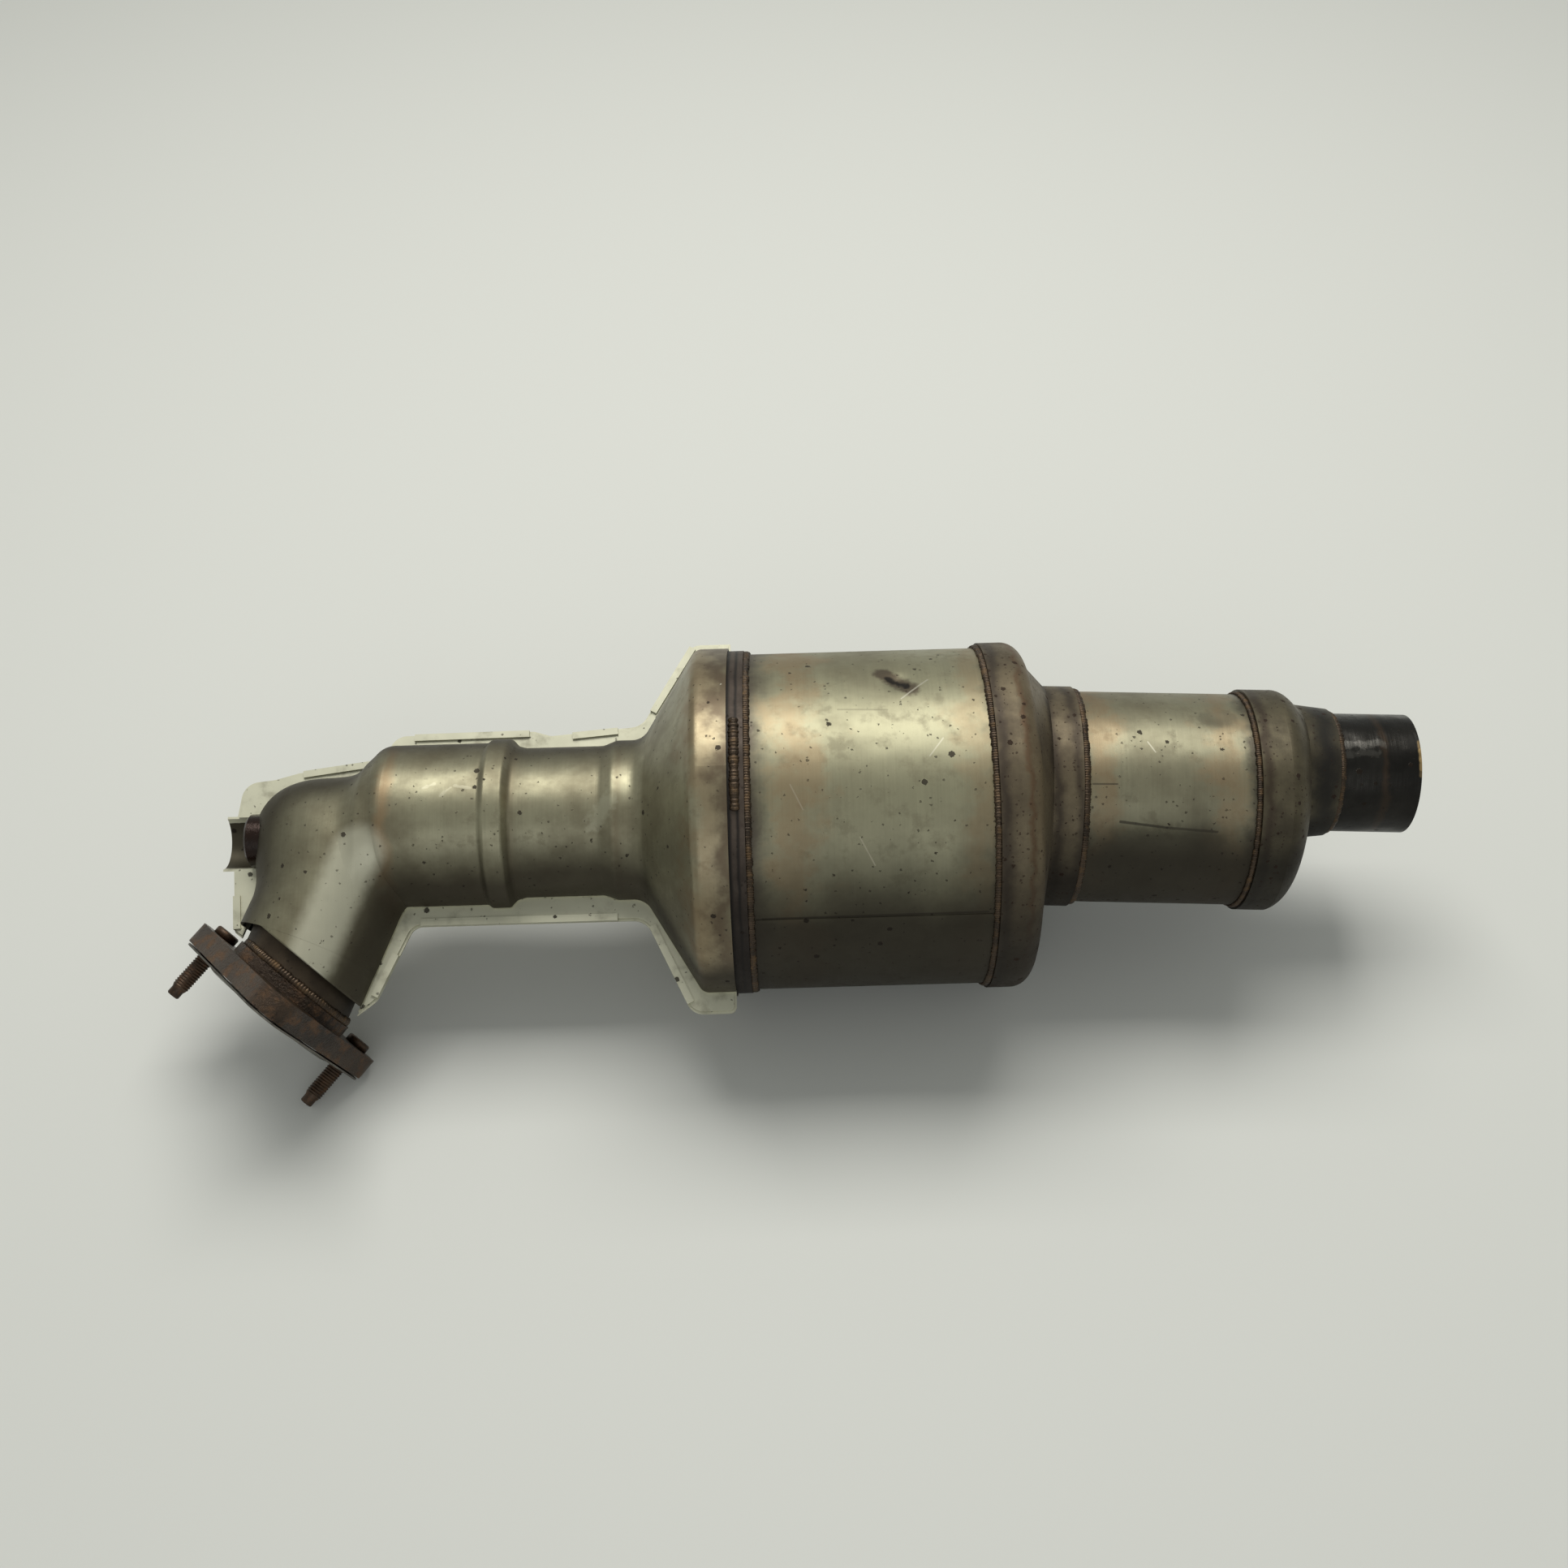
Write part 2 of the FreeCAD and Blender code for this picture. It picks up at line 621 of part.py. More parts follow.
stud_body.Tip = stud_turn
doc.recompute()
# The lobe underneath has lost its stud, so its hole stands empty.
STUD_TURNS = (0, 120)
studs = []
for turn in STUD_TURNS:
    spoke = Rotation(Vector(0, 0, 1), size("stud_clock") + turn)
    studs.append(stud_body.Shape.transformed(
        Placement(spoke.multVec(Vector(size("stud_circle"), 0, 0)), spoke).toMatrix()))
flange_studs = doc.addObject("Part::Feature", "flange_studs")
flange_studs.Label = "flange_studs"
flange_studs.Shape = Part.makeCompound(studs)
flange_studs.Placement = lying * flange_seat


# ---------------------------------------------------------------- heat shield
def rounded(corners):
    """A closed wire through (x, y, radius) corners, each cut by a tangent arc."""
    spots = [Vector(x, y, 0) for x, y, _ in corners]
    starts, ends, arcs = [], [], []
    for index, (_, _, radius) in enumerate(corners):
        spot = spots[index]
        back = (spots[index - 1] - spot).normalize()
        ahead = (spots[(index + 1) % len(spots)] - spot).normalize()
        half = back.getAngle(ahead) / 2
        if radius <= 0 or half > math.radians(89.5):
            starts.append(spot)
            ends.append(spot)
            arcs.append(None)
            continue
        trim = radius / math.tan(half)
        middle = (back + ahead).normalize()
        centre = spot + middle * (radius / math.sin(half))
        starts.append(spot + back * trim)
        ends.append(spot + ahead * trim)
        arcs.append(Part.Arc(starts[-1], centre - middle * radius, ends[-1]).toShape())
    edges = []
    for index, arc in enumerate(arcs):
        if arc:
            edges.append(arc)
        following = starts[(index + 1) % len(starts)]
        if ends[index].distanceToPoint(following) > 1e-4:
            edges.append(Part.LineSegment(ends[index], following).toShape())
    return Part.Wire(edges)


def turned_solid(corners, up):
    """Revolve (x, radius, rounding) corners about a line along X at the given height."""
    closed = [(corners[0][0], 0, 0)] + corners + [(corners[-1][0], 0, 0)]
    face = Part.Face(rounded(closed))
    face.translate(Vector(0, up, 0))
    return face.revolve(Vector(0, up, 0), Vector(1, 0, 0), 360)


shield_y = size("shield_offset")
rim_radius = size("can_radius") + size("lap_gap") + size("cone_wall") + size("rim_gap") + size("skin")


def shield_volume(inset, past_rim=0, past_neck=0):
    """The space inside the heat shield's outer face, drawn in by the inset."""
    barrel_end, bead_x = size("barrel_end") + inset, size("bead_x")
    tube_start, tube_end, foot_x = size("tube_start"), size("tube_end"), size("foot_x")
    barrel, tube_radius = size("shield_barrel") - inset, size("shield_tube") - inset
    raised, foot = size("shield_bead") - inset, size("shield_foot") - inset
    barrel_solid = turned_solid([
        (barrel_end, barrel, 9 - inset), (bead_x - 6, barrel, 2), (bead_x - 4, raised, 2),
        (bead_x + 4, raised, 2), (tube_start - 4, tube_radius + 1, 3), (tube_start, tube_radius, 0),
        (tube_end, tube_radius, 6), (tube_end + 6, foot, 4), (foot_x, foot, 0)], shield_y)
    slope = math.atan2(rim_radius - size("shield_foot"), size("rim_x") - foot_x)
    slide = inset * math.tan(slope / 2)
    rim_x = size("rim_x") + slide
    small = Part.Wire(Part.makeCircle(foot, Vector(foot_x, shield_y, 0), Vector(1, 0, 0)))
    large = Part.Wire(Part.makeCircle(rim_radius - inset, Vector(rim_x, 0, 0), Vector(1, 0, 0)))
    flare = Part.makeLoft([small, large], True, True)
    rim = Part.makeCylinder(rim_radius - inset, size("shield_end") + past_rim - rim_x,
                            Vector(rim_x, 0, 0), Vector(1, 0, 0))
    bell = flare.fuse([rim, barrel_solid])
    corners = [edge for edge in bell.Edges if isinstance(edge.Curve, Part.Circle)
               and abs(edge.Curve.Center.x - rim_x) < 1e-3 and abs(edge.Curve.Radius - rim_radius + inset) < 1e-3]
    bell = bell.makeFillet(size("rim_corner") - inset, corners)
    corners = [edge for edge in bell.Edges if isinstance(edge.Curve, Part.Circle)
               and abs(edge.Curve.Center.x - foot_x) < 1e-3 and abs(edge.Curve.Radius - foot) < 1e-3]
    bell = bell.makeFillet(size("foot_corner") + inset, corners)
    elbow = bent_run(size("shield_elbow") - inset, size("bend_start") + 5,
                     size("shield_neck_run") + past_neck)
    bulge = Part.makeSphere(size("bulge_radius") - inset, Vector(size("bulge_x"), size("bulge_y"), 0))
    return bell.fuse([elbow, bulge])


skin = size("skin")
half_gap = size("seam_gap") / 2
outer_space = shield_volume(0)
inner_space = shield_volume(skin, past_rim=size("rim_corner"), past_neck=size("neck_run"))


def seam_corners():
    """The outer edge of the seam strips as named (x, y, rounding) corners, clockwise from the rim above."""
    end, foot, rim = size("shield_end"), size("foot_x"), size("rim_x")
    rim_edge = rim_radius + size("strip_width") + size("rim_strip")
    barrel = size("shield_barrel") + size("strip_width")
    above, below = shield_y + barrel, shield_y - barrel - size("low_strip")
    bend_x, shoulder, waist = size("bend_start"), size("barrel_end"), size("tube_start")
    outside = bend_x - size("bend_radius") - size("shield_elbow")
    chin = outside - size("cheek_strip")
    tip = (neck_start + (size("shield_neck_run") + size("tongue")) * neck_way
           + size("shield_elbow") * flange_side)
    return {
        "rim_top": (end, rim_edge, 0), "rim_foot": (end, -rim_edge, 3), "rim_heel": (rim - 5, -rim_edge, 8),
        "under_cone": (foot, below, 9), "under_bend": (bend_x - 6, below, 6),
        "throat": (bend_x - 11, below - 11, 6), "jaw": (bend_x - 21, below - 33, 8),
        "tongue_out": (tip.x, tip.y + 1, 4), "tongue_tip": (tip.x - 7, tip.y, 3),
        "tongue_in": (tip.x - 9, tip.y + 5, 0), "cheek": (chin, bend_centre.y, 3),
        "brow": (chin - 4, 0, 10), "temple": (chin - 1, 25, 8), "crown": (outside + 4, 26.5, 5),
        "step_left": (outside + 15, 29.5, 0), "step_right": (shoulder + 0.5, 34.5, 4),
        "barrel_left": (shoulder + 6, above, 8), "barrel_right": (waist + 1, above + 0.5, 5),
        "waist_left": (waist + 9, above - 2, 5), "waist_right": (foot - 2, above + 1.5, 9),
        "rim_shoulder": (rim - 4, rim_edge, 8)}


def along_boss(radius, start, end):
    """A round bar on the sensor boss's axis."""
    foot = boss_seat.multVec(Vector(start, 0, 0))
    return Part.makeCylinder(radius, end - start, foot, Vector(1, 0, 0))


# The sensor goes in past the strips, which dip round the boss in a trough.
trough_start = size("boss_reach") - size("trough_run")
boss_room = along_boss(size("boss_radius") + size("boss_clear"), trough_start - size("strip_width"),
                       size("boss_reach") + size("boss_length"))


def half_space(above):
    """A large block on one side of the seam."""
    reach = 10 * size("can_radius")
    low = half_gap if above else -half_gap - reach
    return Part.makeBox(2 * reach, 2 * reach, reach, Vector(-reach, -reach, low))


def shield_half(above, outline):
    """One pressed half: its share of the skin and the flat strip along its edge."""
    low = half_gap if above else -half_gap - skin
    strip = Part.Face(outline).extrude(Vector(0, 0, skin))
    strip.translate(Vector(0, 0, low))
    return outer_space.common(half_space(above)).fuse(strip)


# Folded tabs: the corners that each one's run lies between, and the shares of the run it covers.
TABS = [("rim_heel", "under_cone", 0.1, 0.92), ("under_cone", "under_bend", 0.12, 0.97),
        ("throat", "jaw", 0.1, 0.95), ("cheek", "brow", 0.02, 0.36), ("step_left", "step_right", 0.06, 0.9),
        ("barrel_left", "barrel_right", 0.14, 0.97), ("waist_left", "waist_right", 0.24, 0.74),
        ("waist_right", "rim_shoulder", 0.18, 0.97)]


def folded_tab(start, end, first, last):
    """A strip bent up round the other half's edge and pressed down on it."""
    start, end = Vector(start[0], start[1], 0), Vector(end[0], end[1], 0)
    along = (end - start).normalize()
    run = start.distanceToPoint(end)
    inward = along.cross(Vector(0, 0, 1))
    place = Placement(start + along * (first * run), Rotation(along, inward * -1, Vector(0, 0, 1), "ZXY"))
    length = (last - first) * run
    top = half_gap + skin + size("seam_gap")
    wall = Part.makeBox(length, skin, top + skin + half_gap + skin, Vector(0, -skin, -half_gap - skin))
    lip = Part.makeBox(length, size("fold_lip"), skin, Vector(0, -size("fold_lip"), top))
    tab = wall.fuse(lip)
    tab.Placement = place
    return tab


corners = seam_corners()
edge_line = rounded(list(corners.values()))
inner_line = Part.Face(edge_line).makeOffset2D(-skin - size("seam_gap")).OuterWire
tabs = [folded_tab(corners[start], corners[end], first, last) for start, end, first, last in TABS]
trough = along_boss(size("boss_radius") + size("boss_clear") + skin, trough_start,
                    size("boss_reach") + size("boss_radius")).common(half_space(False))
solid_part("upper_shield", shield_half(True, inner_line).cut([inner_space, boss_room]))
solid_part("lower_shield", shield_half(False, edge_line).fuse([trough] + tabs).cut([inner_space, boss_room]))

# ---------------------------------------------------------------- welds
bead("front_can_weld", "cone_lap_end", "can_radius")
bead("step_front_weld", step_lap_start + " - 1.6 * weld_size", "can_radius")
bead("step_rear_weld", neck_station + " + step_neck_run", "rear_radius", rear_seat)
bead("outlet_cone_weld", bowl_start + " - 1.6 * weld_size", "rear_radius", rear_seat)
bead("outlet_pipe_weld", bowl_mouth + " + bowl_collar", "outlet_radius", outlet_seat)
can_seam = new_body("can_seam_weld")
seam_sketch = new_sketch(can_seam, "seam_section", "XZ_Plane")
draw_corners(seam_sketch, [
    ("cone_lap_end + 2 * weld_size", "can_radius"), (step_lap_start + " - 2 * weld_size", "can_radius"),
    (step_lap_start + " - 2 * weld_size", "can_radius + seam_rise"),
    ("cone_lap_end + 2 * weld_size", "can_radius + seam_rise")])
seam_turn = can_seam.newObject("PartDesign::Revolution", "seam_turn")
seam_turn.Profile = seam_sketch
seam_turn.ReferenceAxis = (seam_sketch, ["H_Axis"])
seam_turn.setExpression("Angle", bound("seam_arc"))
can_seam.Tip = seam_turn
can_seam.Placement = lying * Placement(Vector(), Rotation(Vector(1, 0, 0), size("seam_turned")))

slot = new_body("shield_slot_weld")
slot_sketch = new_sketch(slot, "slot_section", "XZ_Plane")
ring_top = "can_radius + lap_gap + cone_wall"
shield_top = ring_top + " + rim_gap + skin"
draw_corners(slot_sketch, [
    ("shield_end", ring_top), ("shield_end + 0.6 * slot_width", ring_top),
    ("shield_end + 0.5 * slot_width", shield_top), ("shield_end + 0.2 * slot_width", shield_top + " + slot_rise"),
    ("shield_end - 0.2 * slot_width", shield_top + " + slot_rise"),
    ("shield_end - 0.4 * slot_width", shield_top), ("shield_end", shield_top)])
slot_turn = slot.newObject("PartDesign::Revolution", "slot_turn")
slot_turn.Profile = slot_sketch
slot_turn.ReferenceAxis = (slot_sketch, ["H_Axis"])
slot_turn.setExpression("Angle", bound("slot_arc"))
slot_turn.Midplane = True
slot.Tip = slot_turn
slot.Placement = lying * Placement(Vector(), Rotation(Vector(1, 0, 0), size("slot_turned")))

flange_weld_body = doc.addObject("PartDesign::Body", "flange_weld_ring")
flange_weld_body.Placement = lying * flange_seat
weld_sketch = new_sketch(flange_weld_body, "weld_section", "XZ_Plane")
draw_corners(weld_sketch, [("flange_bore", "-collar_height"), ("collar_radius", "-collar_height"),
                           ("collar_radius - 0.4", "-collar_height - weld_size"),
                           ("flange_bore", "-collar_height - 1.6 * weld_size")])
weld_turn = flange_weld_body.newObject("PartDesign::Revolution", "weld_turn")
weld_turn.Profile = weld_sketch
weld_turn.ReferenceAxis = (weld_sketch, ["V_Axis"])
weld_turn.Angle = 360
flange_weld_body.Tip = weld_turn
flange_weld = doc.addObject("Part::Cut", "flange_weld")
flange_weld.Label = "flange_weld"
flange_weld.Base = flange_weld_body
flange_weld.Tool = doc.addObject("Part::Feature", "weld_core")
flange_weld.Tool.Shape = bent_run(size("pipe_radius"), size("pipe_start"), 2 * size("neck_run"))
flange_weld.Tool.Placement = lying

# ---------------------------------------------------------------- check and write
NODES = [
    "inlet_flange", "flange_studs", "inlet_gasket", "flange_weld", "inlet_pipe", "sensor_boss",
    "inlet_cone", "upper_shield", "lower_shield", "shield_slot_weld", "front_can", "front_can_weld",
    "can_seam_weld", "front_mat", "front_monolith", "step_front_weld", "transition_cone",
    "step_rear_weld", "rear_can", "rear_mat", "rear_monolith", "outlet_cone_weld", "outlet_cone",
    "outlet_pipe_weld", "outlet_pipe"]

doc.recompute()
for item in doc.Objects:
    if "Invalid" in item.State or "Error" in item.State:
        raise RuntimeError("%s did not build: %s" % (item.Label, item.State))
os.makedirs("parts", exist_ok=True)
for label in NODES:
    shape = doc.getObjectsByLabel(label)[0].Shape
    if shape.isNull() or not shape.isValid() or not shape.Solids:
        raise RuntimeError("%s has no valid solid" % label)
    shape.exportStep("parts/%s.step" % label)
    print("%-18s %d solid(s) %10.1f mm3" % (label, len(shape.Solids), shape.Volume))
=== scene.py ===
import bmesh, bpy, json, math
import numpy as np
from mathutils import Matrix, Vector, noise

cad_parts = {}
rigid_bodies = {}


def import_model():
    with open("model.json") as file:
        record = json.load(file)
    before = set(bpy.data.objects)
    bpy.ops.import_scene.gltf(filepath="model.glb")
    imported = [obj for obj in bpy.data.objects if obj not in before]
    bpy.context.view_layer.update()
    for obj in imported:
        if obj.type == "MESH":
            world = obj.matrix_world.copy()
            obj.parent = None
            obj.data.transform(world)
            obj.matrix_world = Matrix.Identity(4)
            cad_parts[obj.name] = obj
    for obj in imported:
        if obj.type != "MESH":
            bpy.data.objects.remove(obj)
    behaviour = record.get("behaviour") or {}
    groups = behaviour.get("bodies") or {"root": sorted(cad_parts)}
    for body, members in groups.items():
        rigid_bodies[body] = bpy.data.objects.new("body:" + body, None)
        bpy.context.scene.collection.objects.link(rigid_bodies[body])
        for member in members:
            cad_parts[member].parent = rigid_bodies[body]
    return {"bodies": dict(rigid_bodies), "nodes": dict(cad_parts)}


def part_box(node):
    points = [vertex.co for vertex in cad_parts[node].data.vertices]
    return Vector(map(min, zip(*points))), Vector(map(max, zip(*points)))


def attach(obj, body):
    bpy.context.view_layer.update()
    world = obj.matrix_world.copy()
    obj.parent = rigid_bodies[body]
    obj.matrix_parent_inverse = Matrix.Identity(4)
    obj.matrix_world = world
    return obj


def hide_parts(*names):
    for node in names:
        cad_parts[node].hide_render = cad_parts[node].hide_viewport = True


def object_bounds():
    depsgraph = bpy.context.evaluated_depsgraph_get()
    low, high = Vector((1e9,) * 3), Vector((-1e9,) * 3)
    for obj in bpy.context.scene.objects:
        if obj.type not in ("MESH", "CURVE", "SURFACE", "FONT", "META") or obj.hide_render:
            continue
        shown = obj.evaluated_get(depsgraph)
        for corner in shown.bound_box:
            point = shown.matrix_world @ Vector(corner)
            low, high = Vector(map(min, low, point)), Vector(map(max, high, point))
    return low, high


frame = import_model()
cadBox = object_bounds()
cadNodes = frame["nodes"]
print("loaded", len(cadNodes), "pieces")

# ---- working frames, in metres: X runs down each axis, Z stands square to the shield's seam
lying = {"rollDegrees": 22, "canStart": -0.032, "rearAt": (0.1385, 0.0073, 0), "rearTurn": -2.9,
         "outletShift": 0.014, "shieldShift": 0.0014, "flangeAngle": 50.3}


def turnAbout(axis, degrees):
    return Matrix.Rotation(math.radians(degrees), 4, axis)


canLow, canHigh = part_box("front_can")
mainPoint = Vector((canLow.x - lying["canStart"], (canLow.y + canHigh.y) / 2, (canLow.z + canHigh.z) / 2))
mainFrame = Matrix.Translation(mainPoint) @ turnAbout("X", lying["rollDegrees"])
rearFrame = mainFrame @ Matrix.Translation(lying["rearAt"]) @ turnAbout("Z", lying["rearTurn"])
outletFrame = rearFrame @ Matrix.Translation((0, lying["outletShift"], 0))
shieldFrame = mainFrame @ Matrix.Translation((0, lying["shieldShift"], 0))
flangeWay = math.radians(lying["flangeAngle"])
flangeFrame = turnAbout("X", lying["rollDegrees"]) @ Matrix((   # Z leaves the flange's face
    (-math.sin(flangeWay), 0, -math.cos(flangeWay), 0), (math.cos(flangeWay), 0, -math.sin(flangeWay), 0),
    (0, -1, 0, 0), (0, 0, 0, 1)))
skyWay = (math.sin(math.radians(lying["rollDegrees"])), math.cos(math.radians(lying["rollDegrees"])))


def onRound(x, degrees, radius):   # a point on a can, by station and turn from the Y axis
    turn = math.radians(degrees)
    return (x, radius * math.cos(turn), radius * math.sin(turn))


# ---- node helpers
def addNode(tree, kind, inputs=None, **settings):
    node = tree.nodes.new(kind)
    for name, value in settings.items():
        setattr(node, name, value)
    for key, value in (inputs or {}).items():
        if isinstance(value, bpy.types.NodeSocket):
            tree.links.new(value, node.inputs[key])
        else:
            node.inputs[key].default_value = value
    return node


def mathNode(tree, operation, *values, clamp=False):
    return addNode(tree, "ShaderNodeMath", dict(enumerate(values)), operation=operation,
                   use_clamp=clamp).outputs[0]


def vectorNode(tree, operation, *values, output=0):
    return addNode(tree, "ShaderNodeVectorMath", dict(enumerate(values)), operation=operation).outputs[output]


def rangeNode(tree, value, low, high, toLow=0.0, toHigh=1.0):
    return addNode(tree, "ShaderNodeMapRange",
                   {"Value": value, "From Min": low, "From Max": high, "To Min": toLow, "To Max": toHigh},
                   interpolation_type="SMOOTHSTEP").outputs["Result"]


def mixColour(tree, factor, first, second):
    node = addNode(tree, "ShaderNodeMix", data_type="RGBA")
    for key, value in ((0, factor), (6, first), (7, second)):
        if isinstance(value, bpy.types.NodeSocket):
            tree.links.new(value, node.inputs[key])
        else:
            node.inputs[key].default_value = value if key == 0 else (*value, 1)
    return node.outputs[2]


def noiseNode(tree, vector, scale, detail=3.0, rough=0.55):
    return addNode(tree, "ShaderNodeTexNoise",
                   {"Vector": vector, "Scale": scale, "Detail": detail, "Roughness": rough}).outputs["Fac"]


def swingNode(tree, vector, scale, detail=3.0, rough=0.55):   # noise that swings both ways about nought
    return mathNode(tree, "SUBTRACT", noiseNode(tree, vector, scale, detail, rough), 0.5)


def inFrame(tree, place):   # object coordinates turned into a working frame
    back = place.inverted()
    return addNode(tree, "ShaderNodeMapping",
                   {"Vector": tree.nodes.new("ShaderNodeTexCoord").outputs["Object"],
                    "Location": back.to_translation(), "Rotation": back.to_euler("XYZ")}).outputs[0]


# ---- shared effects: each a node group with its own inputs and outputs
def newGroup(name, inputs, outputs):
    group = bpy.data.node_groups.new(name, "ShaderNodeTree")
    for label, kind, value in inputs:
        socket = group.interface.new_socket(label, in_out="INPUT", socket_type="NodeSocket" + kind)
        if value is not None:
            socket.default_value = value
    for label in outputs:
        group.interface.new_socket(label, in_out="OUTPUT", socket_type="NodeSocketFloat")
    return group, group.nodes.new("NodeGroupInput").outputs, group.nodes.new("NodeGroupOutput").inputs


def useGroup(tree, group, **inputs):
    node = tree.nodes.new("ShaderNodeGroup")
    node.node_tree = group
    for name, value in inputs.items():
        socket = node.inputs[name[0].upper() + name[1:]]
        if isinstance(value, bpy.types.NodeSocket):
            tree.links.new(value, socket)
        else:
            socket.default_value = value
    return node.outputs


def makeSpecks():   # small burnt specks, one in some of the cells
    sizes = {"wanderScale": 1500, "detail": 2.0, "wanderReach": 0.0012, "rarity": 2.0, "edge": (0.05, -0.02)}
    group, given, made = newGroup("burntSpecks", [
        ("Vector", "Vector", None), ("Scale", "Float", 200), ("Size", "Float", 0.2), ("Share", "Float", 0.3)],
        ["Mask"])
    wander = addNode(group, "ShaderNodeTexNoise", {
        "Vector": given["Vector"], "Scale": sizes["wanderScale"], "Detail": sizes["detail"]})
    shift = addNode(group, "ShaderNodeVectorMath", {
        0: wander.outputs["Color"], "Scale": sizes["wanderReach"]}, operation="SCALE")
    cells = addNode(group, "ShaderNodeTexVoronoi", {
        "Vector": vectorNode(group, "ADD", given["Vector"], shift.outputs[0]), "Scale": given["Scale"]})
    draw = addNode(group, "ShaderNodeSeparateColor", {0: cells.outputs["Color"]}).outputs
    size = mathNode(group, "MULTIPLY", given["Size"], mathNode(group, "POWER", draw[1], sizes["rarity"]))
    inside = rangeNode(group, mathNode(group, "SUBTRACT", cells.outputs["Distance"], size), *sizes["edge"])
    chosen = mathNode(group, "LESS_THAN", draw[0], given["Share"])
    group.links.new(mathNode(group, "MULTIPLY", inside, chosen), made["Mask"])
    return group


def makeGrain():   # marks that rolling and turning leave, long one way and fine the other
    sizes = {"detail": 2.0, "fineRough": 0.6, "broadStretch": (0.13, 0.5, 0.5), "fineShare": 0.6,
             "broadShare": 0.4}
    group, given, made = newGroup("rolledGrain", [
        ("Vector", "Vector", None), ("Fine", "Float", 900), ("Long", "Float", 25)], ["Tone", "Height"])
    shape = addNode(group, "ShaderNodeCombineXYZ", {0: given["Fine"], 1: given["Long"], 2: given["Long"]})
    spread = vectorNode(group, "MULTIPLY", given["Vector"], shape.outputs[0])
    fine = noiseNode(group, spread, 1.0, sizes["detail"], sizes["fineRough"])
    stretched = vectorNode(group, "MULTIPLY", spread, sizes["broadStretch"])
    broad = noiseNode(group, stretched, 1.0, sizes["detail"])
    group.links.new(mathNode(group, "MULTIPLY_ADD", fine, sizes["fineShare"],
                             mathNode(group, "MULTIPLY", broad, sizes["broadShare"])), made["Tone"])
    group.links.new(fine, made["Height"])
    return group


def makeHeatRing():   # the band of colour that a weld's heat leaves round a can
    sizes = {"wanderScale": 60, "detail": 4.0, "rough": 0.6, "reach": 4.0}
    group, given, made = newGroup("heatRing", [
        ("Vector", "Vector", None), ("Centre", "Float", 0), ("Width", "Float", 0.01),
        ("Ragged", "Float", 0.3)], ["Mask"])
    along = addNode(group, "ShaderNodeSeparateXYZ", {0: given["Vector"]}).outputs[0]
    wander = swingNode(group, given["Vector"], sizes["wanderScale"], sizes["detail"], sizes["rough"])
    shift = mathNode(group, "MULTIPLY", wander, mathNode(group, "MULTIPLY", given["Ragged"], given["Width"]))
    off = mathNode(group, "ABSOLUTE", mathNode(
        group, "ADD", mathNode(group, "SUBTRACT", along, given["Centre"]),
        mathNode(group, "MULTIPLY", shift, sizes["reach"])))
    group.links.new(rangeNode(group, mathNode(group, "DIVIDE", off, given["Width"]), 1.0, 0.0), made["Mask"])
    return group


def makeBlotches():   # soft uneven patches of soot, oil and oxide
    sizes = {"detail": 5.0, "rough": 0.62}
    group, given, made = newGroup("blotches", [
        ("Vector", "Vector", None), ("Scale", "Float", 30), ("Cover", "Float", 0.5), ("Soft", "Float", 0.15)],
        ["Mask"])
    patch = noiseNode(group, given["Vector"], given["Scale"], sizes["detail"], sizes["rough"])
    edge = mathNode(group, "SUBTRACT", 1.0, given["Cover"])
    node = addNode(group, "ShaderNodeMapRange", {
        "Value": patch, "From Min": mathNode(group, "SUBTRACT", edge, given["Soft"]),
        "From Max": mathNode(group, "ADD", edge, given["Soft"])}, interpolation_type="SMOOTHSTEP")
    group.links.new(node.outputs["Result"], made["Mask"])
    return group


def makeStroke():   # one scratch, scuff, drawn line, painted highlight or painted shade between two points
    sizes = {"wanderScale": 350, "edge": (1.0, 0.45)}
    group, given, made = newGroup("stroke", [
        ("Vector", "Vector", None), ("From", "Vector", (0, 0, 0)), ("To", "Vector", (0, 0, 1)),
        ("Width", "Float", 0.001), ("Ragged", "Float", 0.3)], ["Mask"])
    reach = vectorNode(group, "SUBTRACT", given["To"], given["From"])
    out = vectorNode(group, "SUBTRACT", given["Vector"], given["From"])
    share = mathNode(group, "DIVIDE", vectorNode(group, "DOT_PRODUCT", out, reach, output=1),
                     vectorNode(group, "DOT_PRODUCT", reach, reach, output=1), clamp=True)
    foot = addNode(group, "ShaderNodeVectorMath", {0: reach, "Scale": share}, operation="SCALE").outputs[0]
    off = vectorNode(group, "LENGTH", vectorNode(group, "SUBTRACT", out, foot), output=1)
    swing = swingNode(group, given["Vector"], sizes["wanderScale"])
    wander = mathNode(group, "MULTIPLY", swing, given["Ragged"])
    spread = mathNode(group, "ADD", mathNode(group, "DIVIDE", off, given["Width"]), wander)
    group.links.new(rangeNode(group, spread, *sizes["edge"]), made["Mask"])
    return group


specks, grain, heatRing, blotches, stroke = (
    makeSpecks(), makeGrain(), makeHeatRing(), makeBlotches(), makeStroke())


# ---- finishes
def newMaterial(name, metallic):
    material = bpy.data.materials.new(name)
    material.use_nodes = True
    tree = material.node_tree
    skin = tree.nodes["Principled BSDF"]
    skin.inputs["Metallic"].default_value = metallic
    return material, tree, skin


def finishSkin(tree, skin, colour, rough, height, bumpMetres):
    tree.links.new(colour, skin.inputs["Base Color"])
    tree.links.new(rough, skin.inputs["Roughness"])
    bump = addNode(tree, "ShaderNodeBump", {"Height": height, "Distance": bumpMetres, "Strength": 1.0})
    tree.links.new(bump.outputs[0], skin.inputs["Normal"])


